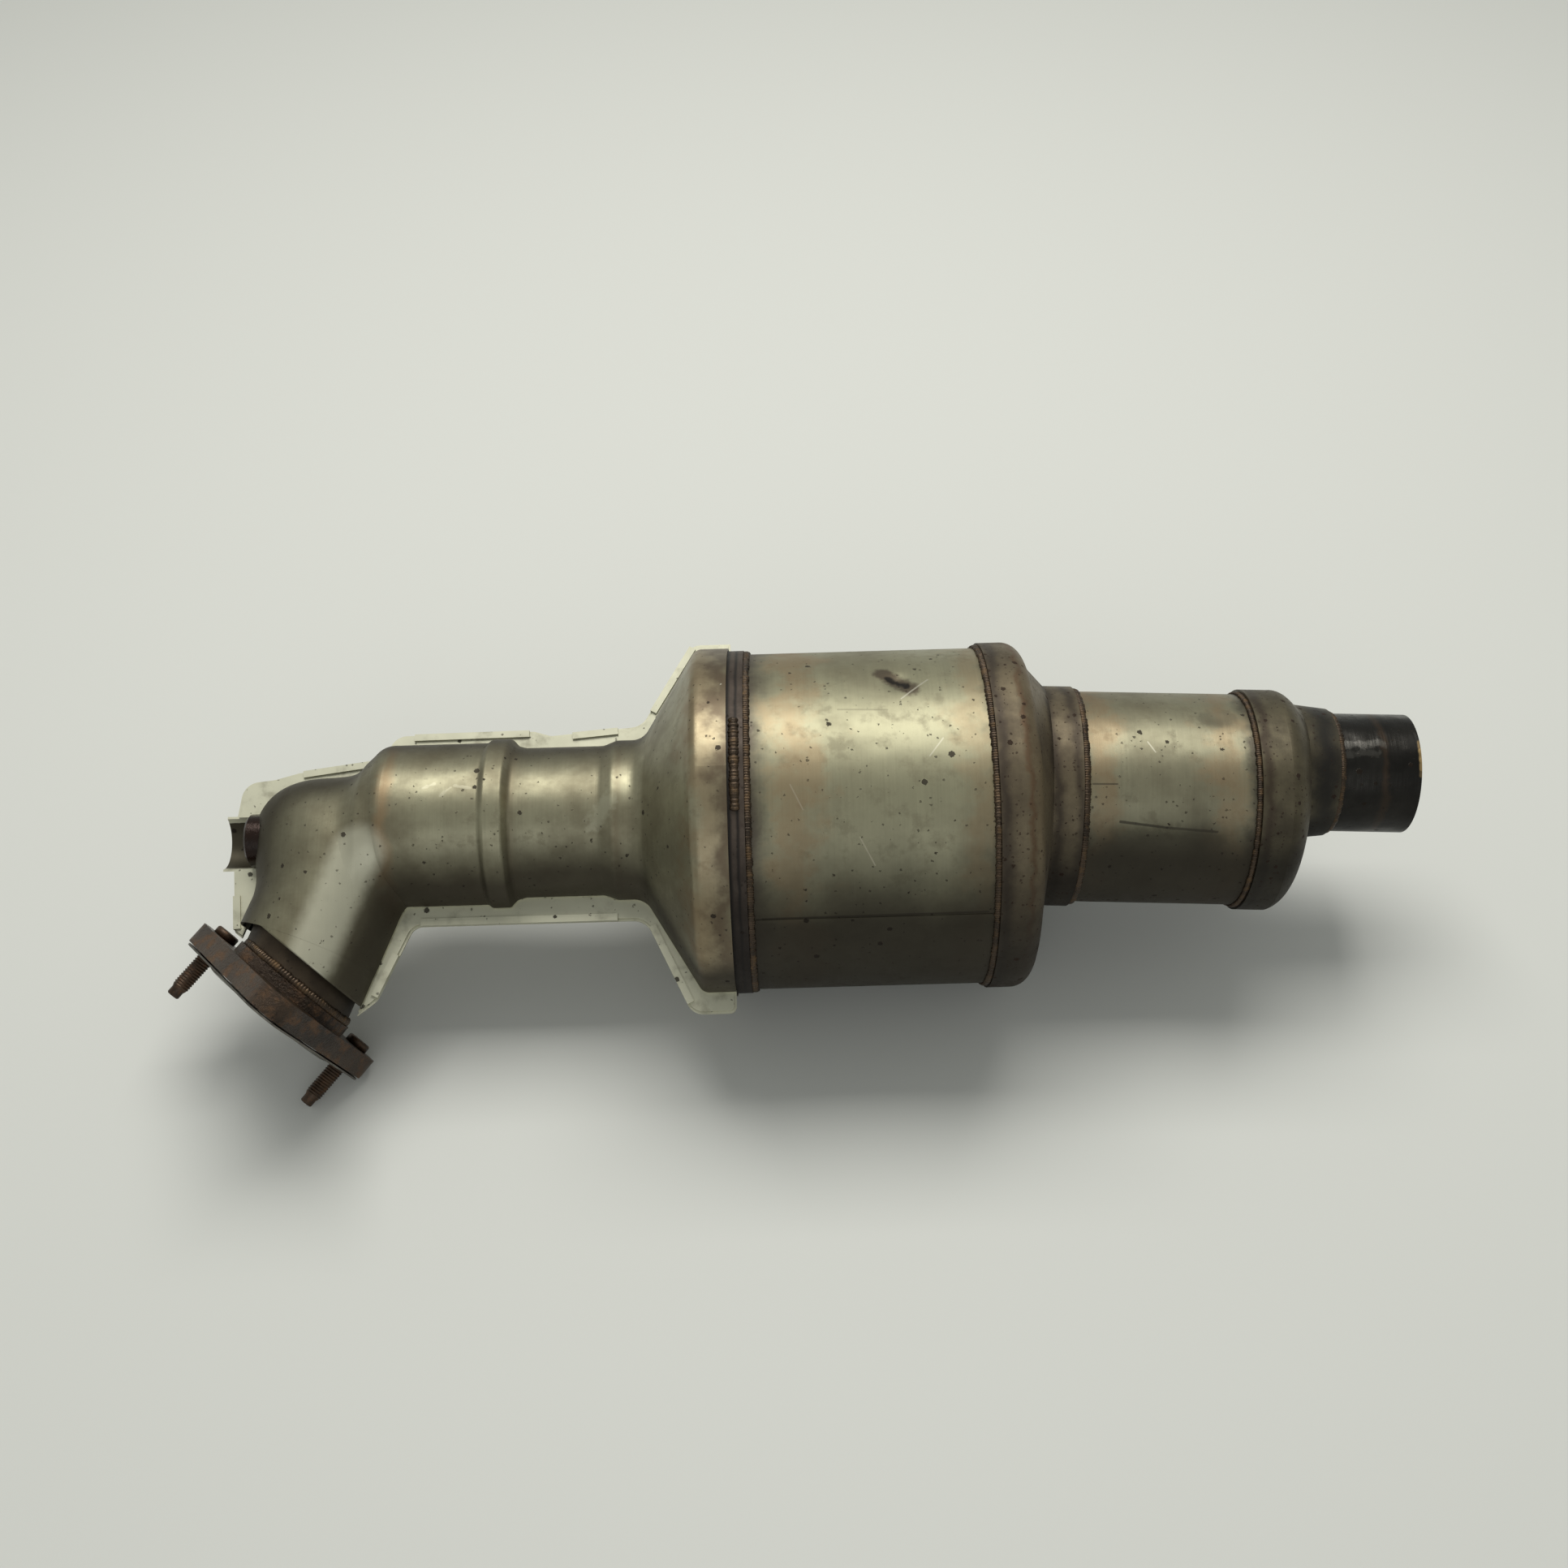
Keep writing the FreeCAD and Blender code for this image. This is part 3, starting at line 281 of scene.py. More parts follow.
sheetWear = {   # what every sheet has unless its own look says otherwise
    "tones": (0.82, 1.16), "fine": 900, "long": 25, "cloudScale": 22, "cloudSoft": 0.2, "cloudShare": 0.75,
    "stainTimes": 5, "stainCover": 0.42, "stainSoft": 0.12, "stainShare": 0.42,
    # painted shade: where the dark underside tint starts and ends, and how its edge wanders
    "shadeTurns": (0.82, 0.05), "shadeScale": 28, "shadeDetail": 4.0,
    "stripScale": 260, "stripReach": 0.0008, "stripFoot": 0.86,
    "wornScale": 90, "wornCover": 0.35, "wornSoft": 0.15, "wornShare": 0.55,
    "speckScales": (260, 700), "speckSizes": (0.34, 0.42), "fineSpeckShare": 0.7, "speckShare": 0.85,
    "speckTint": (0.02, 0.014, 0.01), "soiledRough": 0.18, "shadeRough": 0.14, "speckRough": 0.2,
    "grainRough": 0.10, "rippleScale": 38, "rippleDetail": 2.0, "rippleRough": 0.4,
    "grainBump": 0.03, "rippleBump": 0.8, "speckBump": 0.10, "bumpMetres": 0.001, "rings": [], "strokes": []}


def sheetSteel(name, place, ownLook):
    look = {**sheetWear, **ownLook}
    material, tree, skin = newMaterial(name, look["metallic"])
    vector = inFrame(tree, place)
    parts = addNode(tree, "ShaderNodeSeparateXYZ", {0: vector}).outputs

    def times(value, share):
        return mathNode(tree, "MULTIPLY", value, share)

    lines = useGroup(tree, grain, vector=vector, fine=look["fine"], long=look["long"])
    darker, paler = [[part * tone for part in look["clean"]] for tone in look["tones"]]
    colour = mixColour(tree, lines["Tone"], darker, paler)
    cloud = useGroup(tree, blotches, vector=vector, scale=look["cloudScale"], cover=look["cloud"],
                     soft=look["cloudSoft"])["Mask"]
    stain = useGroup(tree, blotches, vector=vector, scale=look["cloudScale"] * look["stainTimes"],
                     cover=look["stainCover"], soft=look["stainSoft"])["Mask"]
    soiled = mathNode(tree, "MAXIMUM", times(cloud, look["cloudShare"]), times(stain, look["stainShare"]))
    colour = mixColour(tree, soiled, colour, look["sooty"])
    for centre, width, ragged, strength, tint in look["rings"]:
        ring = useGroup(tree, heatRing, vector=vector, centre=centre, width=width, ragged=ragged)
        colour = mixColour(tree, times(ring["Mask"], strength), colour, tint)
    if "shadeHeights" in look:   # a shield: painted shade towards its seam
        reach = mathNode(tree, "ABSOLUTE", parts[2])
    else:   # a can: painted shade where it turns away from the sky
        rise = mathNode(tree, "ADD", times(parts[1], skyWay[0]), times(parts[2], skyWay[1]))
        flat = addNode(tree, "ShaderNodeCombineXYZ", {0: 0.0, 1: parts[1], 2: parts[2]})
        reach = mathNode(tree, "DIVIDE", rise, vectorNode(tree, "LENGTH", flat.outputs[0], output=1))
    high, low = look.get("shadeHeights", look["shadeTurns"])
    loose = times(swingNode(tree, vector, look["shadeScale"], look["shadeDetail"]), abs(high - low) / 2)
    paintedShade = rangeNode(tree, mathNode(tree, "ADD", reach, loose), high, low)
    # painted shade: sides facing away from the light are mixed towards a dark tint
    colour = mixColour(tree, times(paintedShade, look["shade"]), colour, look["paintedShadeTint"])
    for start, end, width, ragged, strength, tint in look["strokes"]:
        line = useGroup(tree, stroke, vector=vector, to=end, width=width, ragged=ragged, **{"from": start})
        colour = mixColour(tree, times(line["Mask"], strength), colour, tint)
    if "stripHighlight" in look:   # the crimped strips get a pale painted highlight, dulled in worn patches
        high, tint = look["stripHighlight"]
        wavy = times(swingNode(tree, vector, look["stripScale"]), look["stripReach"])
        strip = rangeNode(tree, mathNode(tree, "ABSOLUTE", mathNode(tree, "ADD", parts[2], wavy)),
                          high, high * look["stripFoot"])
        worn = useGroup(tree, blotches, vector=vector, scale=look["wornScale"], cover=look["wornCover"],
                        soft=look["wornSoft"])["Mask"]
        pale = mixColour(tree, times(worn, look["wornShare"]), tint, look["sooty"])
        colour = mixColour(tree, strip, colour, pale)
    dots, fineDots = [
        useGroup(tree, specks, vector=vector, scale=scale, size=size, share=look["specks"])["Mask"]
        for scale, size in zip(look["speckScales"], look["speckSizes"])]
    burnt = mathNode(tree, "MAXIMUM", dots, times(fineDots, look["fineSpeckShare"]))
    colour = mixColour(tree, times(burnt, look["speckShare"]), colour, look["speckTint"])
    rough = mathNode(tree, "MULTIPLY_ADD", soiled, look["soiledRough"], look["rough"])
    rough = mathNode(tree, "MULTIPLY_ADD", paintedShade, look["shadeRough"], rough)
    rough = mathNode(tree, "ADD", rough, times(burnt, look["speckRough"]))
    level = mathNode(tree, "SUBTRACT", rough, look["grainRough"] / 2)
    rough = mathNode(tree, "MULTIPLY_ADD", lines["Tone"], look["grainRough"], level)
    ripples = noiseNode(tree, vector, look["rippleScale"], look["rippleDetail"], look["rippleRough"])
    height = mathNode(tree, "ADD", times(lines["Height"], look["grainBump"]),
                      times(ripples, look["rippleBump"]))
    height = mathNode(tree, "ADD", height, times(burnt, look["speckBump"]))
    finishSkin(tree, skin, colour, rough, height, look["bumpMetres"])
    return material


def mark(radius, start, end, *paint):   # a stroke on a round piece, its ends by station and turn
    return (onRound(*start, radius), onRound(*end, radius), *paint)


onFront, onRear, onBarrel, onPipe, onPipeEnd = 0.076, 0.048, 0.0378, 0.0262, 0.0268
intoOutlet = outletFrame.inverted() @ cadNodes["outlet_pipe"].matrix_world
pipeEnd = max((intoOutlet @ corner.co).x for corner in cadNodes["outlet_pipe"].data.vertices)
orangeTint, darkTint, goldTint = (0.26, 0.155, 0.075), (0.030, 0.022, 0.018), (0.46, 0.32, 0.15)
paleTint, brightTint, scuffTint = (0.42, 0.40, 0.33), (0.60, 0.58, 0.48), (0.42, 0.40, 0.31)
creaseShade, splashTint, tanTint = (0.03, 0.025, 0.017), (0.03, 0.02, 0.014), (0.13, 0.10, 0.06)
# rings: centre, width, ragged, strength, tint; strokes: two ends, then width, ragged, strength, tint
canSteel = sheetSteel("canSteel", mainFrame, {
    "metallic": 0.7, "clean": (0.270, 0.258, 0.172), "sooty": (0.125, 0.108, 0.068),
    "paintedShadeTint": (0.026, 0.021, 0.014), "cloud": 0.42, "rough": 0.42, "specks": 0.11, "shade": 0.95,
    "shadeTurns": (0.86, 0.22),
    "rings": [(0.004, 0.016, 0.9, 0.40, orangeTint), (-0.0165, 0.0125, 0.30, 0.88, (0.046, 0.033, 0.028)),
              (0.080, 0.014, 0.9, 0.28, orangeTint), (0.0905, 0.008, 0.5, 0.85, darkTint)],
    "strokes": [mark(onFront, (0.043, 52.5), (0.0545, 61.5), 0.0054, 0.8, 0.82, (0.058, 0.038, 0.026)),
                mark(onFront, (0.0455, 55.5), (0.0525, 59.5), 0.0026, 1.2, 0.97, (0.010, 0.007, 0.005)),
                mark(onFront, (-0.011, 139.6), (0.083, 139.2), 0.0006, 0.3, 0.7, (0.022, 0.017, 0.012)),
                mark(onFront, (0.023, 70), (0.0436, 70.6), 0.0006, 0.3, 0.5, (0.13, 0.12, 0.08)),
                mark(onFront, (0.050, 66), (0.062, 57), 0.0005, 0.8, 0.6, paleTint),
                mark(onFront, (0.060, 88), (0.066, 82), 0.0004, 0.5, 0.5, paleTint),
                mark(onFront, (0.030, 113), (0.036, 122), 0.0004, 0.5, 0.45, (0.36, 0.33, 0.25)),
                mark(onFront, (0.002, 96), (0.007, 104), 0.0004, 0.5, 0.5, (0.38, 0.33, 0.25))]})
rearSteel = sheetSteel("rearSteel", rearFrame, {
    "metallic": 0.7, "clean": (0.235, 0.222, 0.150), "sooty": (0.095, 0.078, 0.05),
    "paintedShadeTint": (0.030, 0.024, 0.016), "cloud": 0.42, "rough": 0.40, "specks": 0.16, "shade": 0.95,
    "shadeTurns": (0.82, 0.25),
    "rings": [(-0.003, 0.012, 0.9, 0.38, orangeTint), (-0.018, 0.012, 0.5, 0.95, darkTint),
              (0.053, 0.014, 0.9, 0.35, orangeTint), (0.066, 0.008, 0.5, 0.85, darkTint)],
    # painted shade on the flattened sheet below the crease
    "strokes": [mark(onRear, (0.010, 143), (0.040, 139), 0.0190, 0.45, 0.60, (0.034, 0.029, 0.020)),
                # painted shade along the crease
                mark(onRear, (0.006, 120.9), (0.026, 123.6), 0.0008, 0.5, 0.8, creaseShade),
                mark(onRear, (0.026, 123.6), (0.0475, 125.3), 0.0008, 0.5, 0.7, creaseShade),
                mark(onRear, (-0.0062, 101.7), (0.0042, 101.5), 0.0005, 0.3, 0.7, (0.05, 0.04, 0.03)),
                mark(onRear, (0.047, 61), (0.053, 60), 0.0075, 0.8, 0.45, (0.11, 0.10, 0.07)),
                mark(onRear, (0.018, 78), (0.021, 84), 0.0004, 0.5, 0.6, paleTint)]})
stepSteel = sheetSteel("stepSteel", mainFrame, {
    "metallic": 0.65, "clean": (0.150, 0.120, 0.075), "sooty": (0.052, 0.038, 0.025),
    "paintedShadeTint": (0.018, 0.014, 0.010), "cloud": 0.5, "cloudScale": 42, "rough": 0.46, "specks": 0.42,
    "speckTint": (0.028, 0.014, 0.008), "shade": 0.9,
    "rings": [(0.0905, 0.0045, 0.6, 0.8, (0.035, 0.025, 0.018)),
              (0.1165, 0.0035, 0.6, 0.75, (0.03, 0.021, 0.015)),
              (0.126, 0.004, 0.5, 0.7, (0.028, 0.019, 0.014)), (0.104, 0.004, 0.8, 0.35, (0.20, 0.145, 0.08)),
              (0.1005, 0.0022, 1.3, 0.55, (0.10, 0.048, 0.022))]})
bandSteel = sheetSteel("bandSteel", mainFrame, {
    "metallic": 0.6, "clean": (0.075, 0.056, 0.044), "sooty": (0.028, 0.020, 0.016),
    "paintedShadeTint": (0.012, 0.009, 0.008), "cloud": 0.5, "cloudScale": 60, "rough": 0.5, "specks": 0.2,
    "shade": 0.85,
    "rings": [(-0.0200, 0.0012, 0.3, 0.9, (0.008, 0.006, 0.005)),
              (-0.0235, 0.0015, 0.3, 0.95, (0.006, 0.005, 0.004))]})
bowlSteel = sheetSteel("bowlSteel", rearFrame, {
    "metallic": 0.65, "clean": (0.112, 0.095, 0.058), "sooty": (0.034, 0.026, 0.017),
    "paintedShadeTint": (0.012, 0.010, 0.007), "cloud": 0.5, "cloudScale": 45, "rough": 0.42, "specks": 0.42,
    "speckTint": (0.026, 0.013, 0.008), "shade": 0.88, "shadeTurns": (0.75, 0.2),
    "rings": [(0.0685, 0.0035, 0.6, 0.75, (0.032, 0.020, 0.013)),
              (0.101, 0.013, 0.35, 0.92, (0.012, 0.011, 0.010))]})
shieldSteel = sheetSteel("shieldSteel", shieldFrame, {
    "metallic": 0.72, "clean": (0.300, 0.285, 0.195), "sooty": (0.120, 0.100, 0.062),
    "paintedShadeTint": (0.038, 0.031, 0.020), "cloud": 0.48, "cloudScale": 30, "rough": 0.34, "specks": 0.12,
    "shade": 0.92, "shadeHeights": (0.0372, 0.019), "rippleScale": 55, "rippleBump": 0.4, "grainBump": 0.015,
    # pale painted highlight on the seam strips
    "stripHighlight": (0.0027, (0.54, 0.53, 0.42)),
    "rings": [(-0.0255, 0.011, 0.7, 0.75, (0.085, 0.052, 0.032)), (-0.036, 0.010, 0.7, 0.35, orangeTint),
              (-0.175, 0.005, 0.6, 0.45, orangeTint), (-0.1205, 0.0035, 0.5, 0.4, tanTint),
              (-0.0735, 0.003, 0.5, 0.4, tanTint)],
    "strokes": [(onRound(-0.046, 104, 0.062), onRound(-0.036, 107, 0.070), 0.0005, 1.0, 0.8, splashTint),
                (onRound(-0.036, 107, 0.070), onRound(-0.031, 104.5, 0.074), 0.0005, 1.0, 0.7, splashTint),
                # painted highlight along the elbow's ridge
                ((-0.186, -0.020, 0.034), (-0.203, -0.066, 0.033), 0.015, 0.12, 0.60, (0.58, 0.565, 0.45)),
                mark(onBarrel, (-0.158, 80), (-0.153, 77), 0.0008, 2.8, 0.35, scuffTint),
                mark(onBarrel, (-0.150, 86), (-0.146, 80), 0.0008, 2.8, 0.30, scuffTint),
                mark(onBarrel, (-0.144, 79), (-0.137, 81), 0.0008, 2.8, 0.30, scuffTint),
                mark(onBarrel, (-0.112, 92), (-0.104, 84), 0.0004, 0.9, 0.6, brightTint),
                mark(onBarrel, (-0.100, 96), (-0.093, 88), 0.0004, 0.9, 0.6, brightTint),
                (onRound(-0.033, 66, 0.075), onRound(-0.026, 60, 0.078), 0.0005, 0.9, 0.7, brightTint),
                (onRound(-0.078, 92, 0.039), onRound(-0.084, 108, 0.038), 0.006, 1.2, 0.5,
                 (0.35, 0.34, 0.25))]})
pipeSteel = sheetSteel("pipeSteel", outletFrame, {
    "metallic": 0.85, "clean": (0.032, 0.030, 0.027), "sooty": (0.010, 0.0092, 0.0085),
    "paintedShadeTint": (0.008, 0.007, 0.006), "cloud": 0.5, "cloudScale": 60, "rough": 0.20, "specks": 0.2,
    "shade": 0.5,
    "grainBump": 0.05, "rippleBump": 0.5, "rippleScale": 90,
    "rings": [(0.1275, 0.003, 0.9, 0.3, (0.10, 0.06, 0.035))],
    "strokes": [mark(onPipeEnd, (pipeEnd, turn), (pipeEnd, turn + 9), 0.0016, 0.5, strength, goldTint)
                for turn, strength in ((78, 0.35), (87, 0.75), (95, 0.65), (101, 0.3))]
               # painted highlights: two pale streaks near the pipe's end
               + [mark(onPipe, (0.106, 82), (0.126, 80), 0.0026, 2.0, 0.32, (0.20, 0.19, 0.175)),
                  mark(onPipe, (0.108, 92), (0.124, 90), 0.0022, 2.0, 0.25, (0.17, 0.16, 0.145))]})
neckSteel = sheetSteel("neckSteel", mainFrame, {
    "metallic": 0.65, "clean": (0.085, 0.060, 0.036), "sooty": (0.024, 0.016, 0.011),
    "paintedShadeTint": (0.010, 0.008, 0.006), "cloud": 0.5, "cloudScale": 50, "rough": 0.36, "specks": 0.2,
    "shade": 0.75, "shadeHeights": (0.030, 0.0)})


rustWear = {"broadTimes": 0.25, "broadCover": 0.5, "broadSoft": 0.2, "fineCover": 0.42, "fineSoft": 0.12,
            "fineShare": 0.6, "pitScale": 700, "pitSize": 0.45, "pitCells": 0.35, "pitShare": 0.5,
            "pitTint": (0.02, 0.013, 0.01), "pitDepth": 0.3, "roughSpread": 0.2,
            "crustScale": 900, "crustDetail": 5.0, "crustRough": 0.65}


def rustSteel(name, colours, rough, scale, bumpMetres, metallic):
    material, tree, skin = newMaterial(name, metallic)
    vector = tree.nodes.new("ShaderNodeTexCoord").outputs["Object"]
    broad = useGroup(tree, blotches, vector=vector, scale=scale * rustWear["broadTimes"],
                     cover=rustWear["broadCover"], soft=rustWear["broadSoft"])["Mask"]
    fine = useGroup(tree, blotches, vector=vector, scale=scale, cover=rustWear["fineCover"],
                    soft=rustWear["fineSoft"])["Mask"]
    colour = mixColour(tree, broad, colours[0], colours[1])
    colour = mixColour(tree, mathNode(tree, "MULTIPLY", fine, rustWear["fineShare"]), colour, colours[2])
    pits = useGroup(tree, specks, vector=vector, scale=rustWear["pitScale"], size=rustWear["pitSize"],
                    share=rustWear["pitCells"])["Mask"]
    colour = mixColour(tree, mathNode(tree, "MULTIPLY", pits, rustWear["pitShare"]), colour,
                       rustWear["pitTint"])
    crust = noiseNode(tree, vector, rustWear["crustScale"], rustWear["crustDetail"], rustWear["crustRough"])
    height = mathNode(tree, "SUBTRACT", crust, mathNode(tree, "MULTIPLY", pits, rustWear["pitDepth"]))
    dull = rangeNode(tree, fine, 0, 1, rough, rough + rustWear["roughSpread"])
    finishSkin(tree, skin, colour, dull, height, bumpMetres)
    return material


rustLooks = {   # three colours, roughness, scale, bump in metres, metallic
    "flangeRust": ([(0.066, 0.043, 0.028), (0.013, 0.009, 0.007), (0.185, 0.098, 0.048)],
        0.32, 130, 0.0009, 0.65),
    "threadRust": ([(0.075, 0.045, 0.027), (0.030, 0.020, 0.014), (0.15, 0.075, 0.038)],
        0.42, 400, 0.0001, 0.6),
    "weldSteel": ([(0.070, 0.047, 0.030), (0.026, 0.019, 0.014), (0.16, 0.098, 0.048)],
        0.36, 260, 0.00015, 0.75),
    "bossSteel": ([(0.012, 0.009, 0.007), (0.026, 0.011, 0.007), (0.006, 0.005, 0.005)],
        0.2, 240, 0.0001, 0.6),
    "gasketSteel": ([(0.16, 0.15, 0.13), (0.06, 0.05, 0.04), (0.28, 0.27, 0.24)],
        0.3, 300, 0.00005, 0.9),
    "matFibre": ([(0.6, 0.57, 0.5), (0.5, 0.46, 0.38), (0.66, 0.62, 0.55)],
        0.9, 500, 0.0003, 0.0),
    "brickCeramic": ([(0.45, 0.38, 0.27), (0.36, 0.29, 0.2), (0.5, 0.44, 0.34)],
        0.85, 300, 0.0002, 0.0)}
flangeRust, threadRust, weldSteel, bossSteel, gasketSteel, matFibre, brickCeramic = [
    rustSteel(name, *look) for name, look in rustLooks.items()]
print("finishes ready")

finishOf = {
    "inlet_flange": flangeRust, "flange_studs": threadRust, "inlet_gasket": gasketSteel,
    "flange_weld": weldSteel,
    "inlet_pipe": neckSteel, "sensor_boss": bossSteel, "inlet_cone": bandSteel, "upper_shield": shieldSteel,
    "lower_shield": shieldSteel, "shield_slot_weld": weldSteel, "front_can": canSteel,
    "front_can_weld": weldSteel, "can_seam_weld": canSteel, "front_mat": matFibre,
    "front_monolith": brickCeramic, "step_front_weld": weldSteel, "transition_cone": stepSteel,
    "step_rear_weld": weldSteel, "rear_can": rearSteel, "rear_mat": matFibre, "rear_monolith": brickCeramic,
    "outlet_cone_weld": weldSteel, "outlet_cone": bowlSteel, "outlet_pipe_weld": weldSteel,
    "outlet_pipe": pipeSteel}
for nodeName, finish in finishOf.items():
    cadNodes[nodeName].data.materials.clear()
    cadNodes[nodeName].data.materials.append(finish)


def addPiece(name, mesh, place, standsFor, materials):
    mesh.transform(place)
    piece = bpy.data.objects.new(name, mesh)
    bpy.context.scene.collection.objects.link(piece)
    for material in materials:
        if material.name not in mesh.materials:
            mesh.materials.append(material)
    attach(piece, "root" if "root" in frame["bodies"] else next(iter(frame["bodies"])))
    if standsFor:
        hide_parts(*standsFor)
    return piece


# ---- the two cans as dented sheet
def dentedTube(size, dent):
    points, faces = [], []
    around, along = size["around"], size["along"]
    stations = [(size["start"] + (size["end"] - size["start"]) * i / along, wall)
                for wall, order in ((0, range(along + 1)), (size["wall"], range(along, -1, -1)))
                for i in order]
    for x, wall in stations:
        for step in range(around):
            degrees = 360 * step / around
            points.append(onRound(x, degrees, size["radius"] - wall - dent(x, degrees)))
    rings = len(stations)
    for ring in range(rings):
        following = (ring + 1) % rings
        for step in range(around):
            ahead = (step + 1) % around
            faces.append((ring * around + step, following * around + step,
                          following * around + ahead, ring * around + ahead))
    mesh = bpy.data.meshes.new("tube")
    mesh.from_pydata(points, [], faces)
    mesh.update()
    mesh.shade_smooth()
    return mesh


def hollow(x, degrees, centre, spread, depth):
    off = ((x - centre[0]) / spread[0]) ** 2 + ((degrees - centre[1]) / spread[1]) ** 2
    return depth * math.exp(-off)


frontCan = {"start": -0.032, "end": 0.095, "radius": 0.076, "wall": 0.0015, "around": 288, "along": 90,
            "burntDent": ((0.049, 57), (0.0045, 3.6), 0.0014), "wave": 0.00018, "waveAlong": 22,
            "waveRound": 1.6}


def frontDent(x, degrees):
    soft = noise.noise(Vector(onRound(x * frontCan["waveAlong"], degrees, frontCan["waveRound"])))
    return hollow(x, degrees, *frontCan["burntDent"]) + frontCan["wave"] * (1 + soft) / 2


rearCan = {"start": -0.018, "end": 0.074, "radius": 0.048, "wall": 0.0015, "around": 300, "along": 110,
           "creaseFrom": (0.006, 121.5), "creaseTo": (0.048, 125.5), "creaseDepth": 0.0010,
           "lipDegrees": 5.0, "flatDegrees": 26, "endFade": 90,
           "shallowDent": ((0.049, 60), (0.006, 6), 0.0006),
           "wave": 0.00015, "waveAlong": 25, "waveRound": 1.3}


def rearDent(x, degrees):
    startX, startTurn = rearCan["creaseFrom"]
    endX, endTurn = rearCan["creaseTo"]
    share = (x - startX) / (endX - startX)
    crease = startTurn + (endTurn - startTurn) * min(max(share, 0), 1)
    ends = math.exp(-max(-share, share - 1, 0) ** 2 * rearCan["endFade"])
    below = degrees - crease
    fall = 0
    if below > 0:
        fall = ((1 - math.exp(-(below / rearCan["lipDegrees"]) ** 2))
                * math.exp(-(below / rearCan["flatDegrees"]) ** 2))
    soft = noise.noise(Vector(onRound(x * rearCan["waveAlong"], degrees, rearCan["waveRound"])))
    return (rearCan["creaseDepth"] * fall * ends + hollow(x, degrees, *rearCan["shallowDent"])
            + rearCan["wave"] * (1 + soft) / 2)


addPiece("frontCanSheet", dentedTube(frontCan, frontDent), mainFrame, ["front_can"], [canSteel])
addPiece("rearCanSheet", dentedTube(rearCan, rearDent), rearFrame, ["rear_can"], [rearSteel])
print("cans ready")


# ---- the pressed elbow, where bulge, barrel and neck run into each other without an edge
pressing = {"start": -0.178, "bendStart": -0.1615, "bendRadius": 0.045, "bendDegrees": 69, "neckRun": 0.0275,
            "elbow": 0.0325, "barrel": 0.0378, "barrelEnd": -0.186, "barrelCorner": 0.009,
            "barrelShift": 0.0014,
            "bulge": 0.0250, "bulgeAt": (-0.216, -0.001), "bulgeSoft": 0.017, "barrelSoft": 0.012,
            "sunk": 0.0001,
            "endAt": (-0.2075, -0.0655), "bossAt": (-0.0037, 0.004), "bossClear": 0.0131, "bossEnd": -0.219,
            "lowest": 0.0012, "sheet": 0.0009, "searched": (0.029, 0.064), "searchSteps": 176,
            "innerLimit": 0.038,
            "fadeFrom": 0.010, "fadeRun": 0.012, "fadeLeast": 0.001, "seamTurn": 0.02, "turns": 100,
            "barrelSteps": 10, "bendSteps": 90, "neckSteps": 40}


